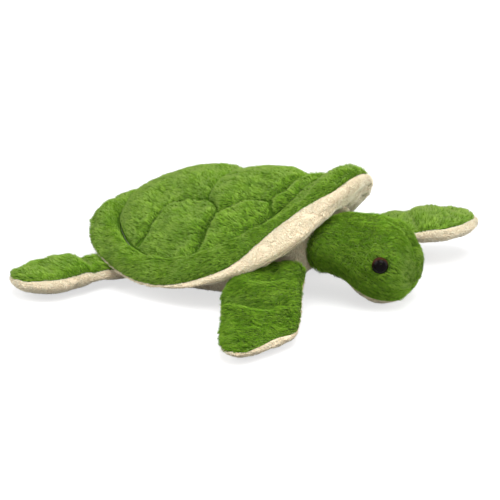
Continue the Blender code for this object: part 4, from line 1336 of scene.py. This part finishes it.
def eye_pile(outer, keep, length):
    """Bares each eye, and lengthens and lifts the pile behind it."""
    forward = LIMBS["head"].matrix[:3, 0]
    lift = 0 * length
    for side in SIDES:
        away = outer - eye_middle(side)
        gap = np.linalg.norm(np.cross(away, eye_out(side)), axis=-1)
        near = np.linalg.norm(away, axis=-1) < 3 * EYE_RADIUS
        keep = np.where(near & (gap < EYE_RADIUS * EYE_BARE_SHARE), 0.0, keep)
        behind = eased(-(away @ forward) / EYE_RADIUS) * eased(2.6 - 1.6 * gap / EYE_RADIUS)
        behind = np.where(near, behind, 0.0)
        lift = np.maximum(lift, behind)
        length = length * (1 + EYE_FRINGE * behind)
    return keep, length, lift


def make_limb(name, seed):
    """A limb's cloth panels with their pile, and its stuffing."""
    limb = LIMBS[name]
    forward, across = limb.matrix[:3, 0], limb.matrix[:3, 1]
    comb = forward
    if name != "head":
        outward = across if name.endswith("left") else -across
        comb = forward * FLIPPER_COMB[0] + outward * FLIPPER_COMB[1]
    share = np.linspace(0.0, 1.0, HEAD_COLUMNS if name == "head" else FLIPPER_COLUMNS)[None, :]
    for step, (node, dye, edges, (start, end)) in enumerate(limb_panels(name)):
        travel = panel_rows(name, start, end)[:, None]
        low, high = edges(travel)
        turn = low + (high - low) * share
        travel = travel + 0 * turn
        outer, inner = [limb_surface(name, turn, travel, depth) for depth in (NAP, BACKING)]
        cloth_piece(node, name, dye, outer, inner, False)
        spread = np.abs(high - low)
        narrow = spread * limb.stations(travel)[3] < NARROW_BARE
        keep = np.where((travel < limb.pivot_travel / 2) | narrow, 0.0, 1.0)
        girth = np.linalg.norm(limb.local(turn, travel)[..., 1:], axis=-1)
        seam_gap = np.minimum(share, 1 - share) * spread * girth
        fields = keep, seam_pile(seam_gap, LIMB_SEAM_PILE)
        if name == "head":
            fields = eye_pile(outer, *fields)
        spikes = tufts(outer, np.broadcast_to(comb, outer.shape), dye, seed + step, False, *fields)
        pile_piece(node + "_pile", name, dye, spikes)
    turn, travel = round_grid(64, 60, limb.end - FILL_SHORT)
    fill = limb_surface(name, turn, travel, INSIDE)
    fill[-1] = fill[-1].mean(0)
    fill_piece(name + "_stuffing_fill", name, fill, name + "_stuffing")


def eye_material(side):
    """Black glossy plastic with a dark red-brown ring round the pupil, which sits low."""
    made, tree, shader = material("eye_gloss_" + side, 0.08, specular=0.05)
    centre = put(tree, "Mapping", "Vector", {"Vector": put(tree, "TexCoord", "Object")},
                 {"Location": tuple(eye_middle(side) + PUPIL_SHIFT)}, vector_type='TEXTURE')
    reach = put(tree, "VectorMath", "Vector", {0: centre}, {1: tuple(eye_out(side))},
                operation='CROSS_PRODUCT')
    size = put(tree, "VectorMath", "Value", {0: reach}, operation='LENGTH')
    ring = put(tree, "MapRange", "Result", {"Value": size},
               {"From Min": EYE_RING[0], "From Max": EYE_RING[1]})
    feed(tree, shader, {"Base Color": ramp(tree, ring, (0.003, 0.002, 0.002), (0.06, 0.022, 0.012))})
    return made


def dress_eyes():
    """Gives the eyes and washers their finishes."""
    washer = cloth_material("washer_plastic_clear", (0.70, 0.68, 0.62), (0.76, 0.74, 0.68))
    for side in SIDES:
        for node, finish, slot in (("eye_" + side, eye_material(side), "eye_gloss"),
                                   ("eye_washer_" + side, washer, "washer_plastic")):
            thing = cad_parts[node]
            thing.data.materials.clear()
            thing.data.materials.append(finish)


# Studio

def seen_rays(tree):
    """One for rays that the camera, a mirror or clear plastic sends, and zero for light."""
    path = tree.nodes.new('ShaderNodeLightPath').outputs
    other = math_of(tree, 'MAXIMUM', path["Is Glossy Ray"], path["Is Transmission Ray"])
    return math_of(tree, 'MAXIMUM', path["Is Camera Ray"], other)


def facing(name, data, place, target):
    """A lamp or camera at a place, turned towards a target."""
    made = bpy.data.objects.new(name, data)
    bpy.context.scene.collection.objects.link(made)
    made.location = place
    made.rotation_euler = (Vector(target) - made.location).to_track_quat('-Z', 'Y').to_euler()
    return made


def floor_paper():
    """Pale paper, which glows for the camera alone, more the farther out it lies."""
    paper, tree, shader = material("floor_paper", 1.0, specular=0.0)
    away = put(tree, "VectorMath", "Value", {0: put(tree, "TexCoord", "Object")}, operation='LENGTH')
    glow = put(tree, "MapRange", "Result", {"Value": away}, FLOOR_GLOW)
    feed(tree, shader, {"Emission Strength": math_of(tree, 'MULTIPLY', glow, seen_rays(tree))},
         {"Base Color": (FLOOR_SHADE, FLOOR_SHADE, FLOOR_SHADE, 1.0), "Emission Color": WHITE})
    return paper


def make_studio():
    """A pale floor, a white surround, soft lamps and the camera."""
    scene = bpy.context.scene
    scene.world = bpy.data.worlds.new("studio")
    scene.world.use_nodes = True
    tree = scene.world.node_tree
    strength = put(tree, "MapRange", "Result", {"Value": seen_rays(tree)},
                   {"To Min": WORLD_LIGHT, "To Max": 1.0})
    feed(tree, tree.nodes["Background"], {"Strength": strength}, {"Color": WHITE})
    bpy.ops.mesh.primitive_grid_add(x_subdivisions=8, y_subdivisions=8, size=12.0)
    floor = bpy.context.object
    floor.name = "floor"
    floor.data.materials.append(floor_paper())
    for name, (place, power) in LAMPS.items():
        data = bpy.data.lights.new(name, 'AREA')
        data.size = LAMP_SIZE
        data.energy = power
        facing(name, data, place, LAMP_TARGET)
    data = bpy.data.cameras.new("camera")
    data.sensor_width = 36.0
    data.lens = CAMERA_LENS
    data.shift_x, data.shift_y = CAMERA_SHIFT
    level = math.cos(CAMERA_ELEVATION)
    back = Vector((math.sin(CAMERA_AZIMUTH) * level, -math.cos(CAMERA_AZIMUTH) * level,
                   math.sin(CAMERA_ELEVATION)))
    scene.camera = facing("camera", data, Vector(CAMERA_TARGET) + back * CAMERA_DISTANCE, CAMERA_TARGET)
    scene.view_settings.view_transform = 'Standard'


simulate()
make_shell()
make_body()
for number, limb_name in enumerate(LIMBS):
    make_limb(limb_name, 100 + 10 * number)
dress_eyes()
make_studio()
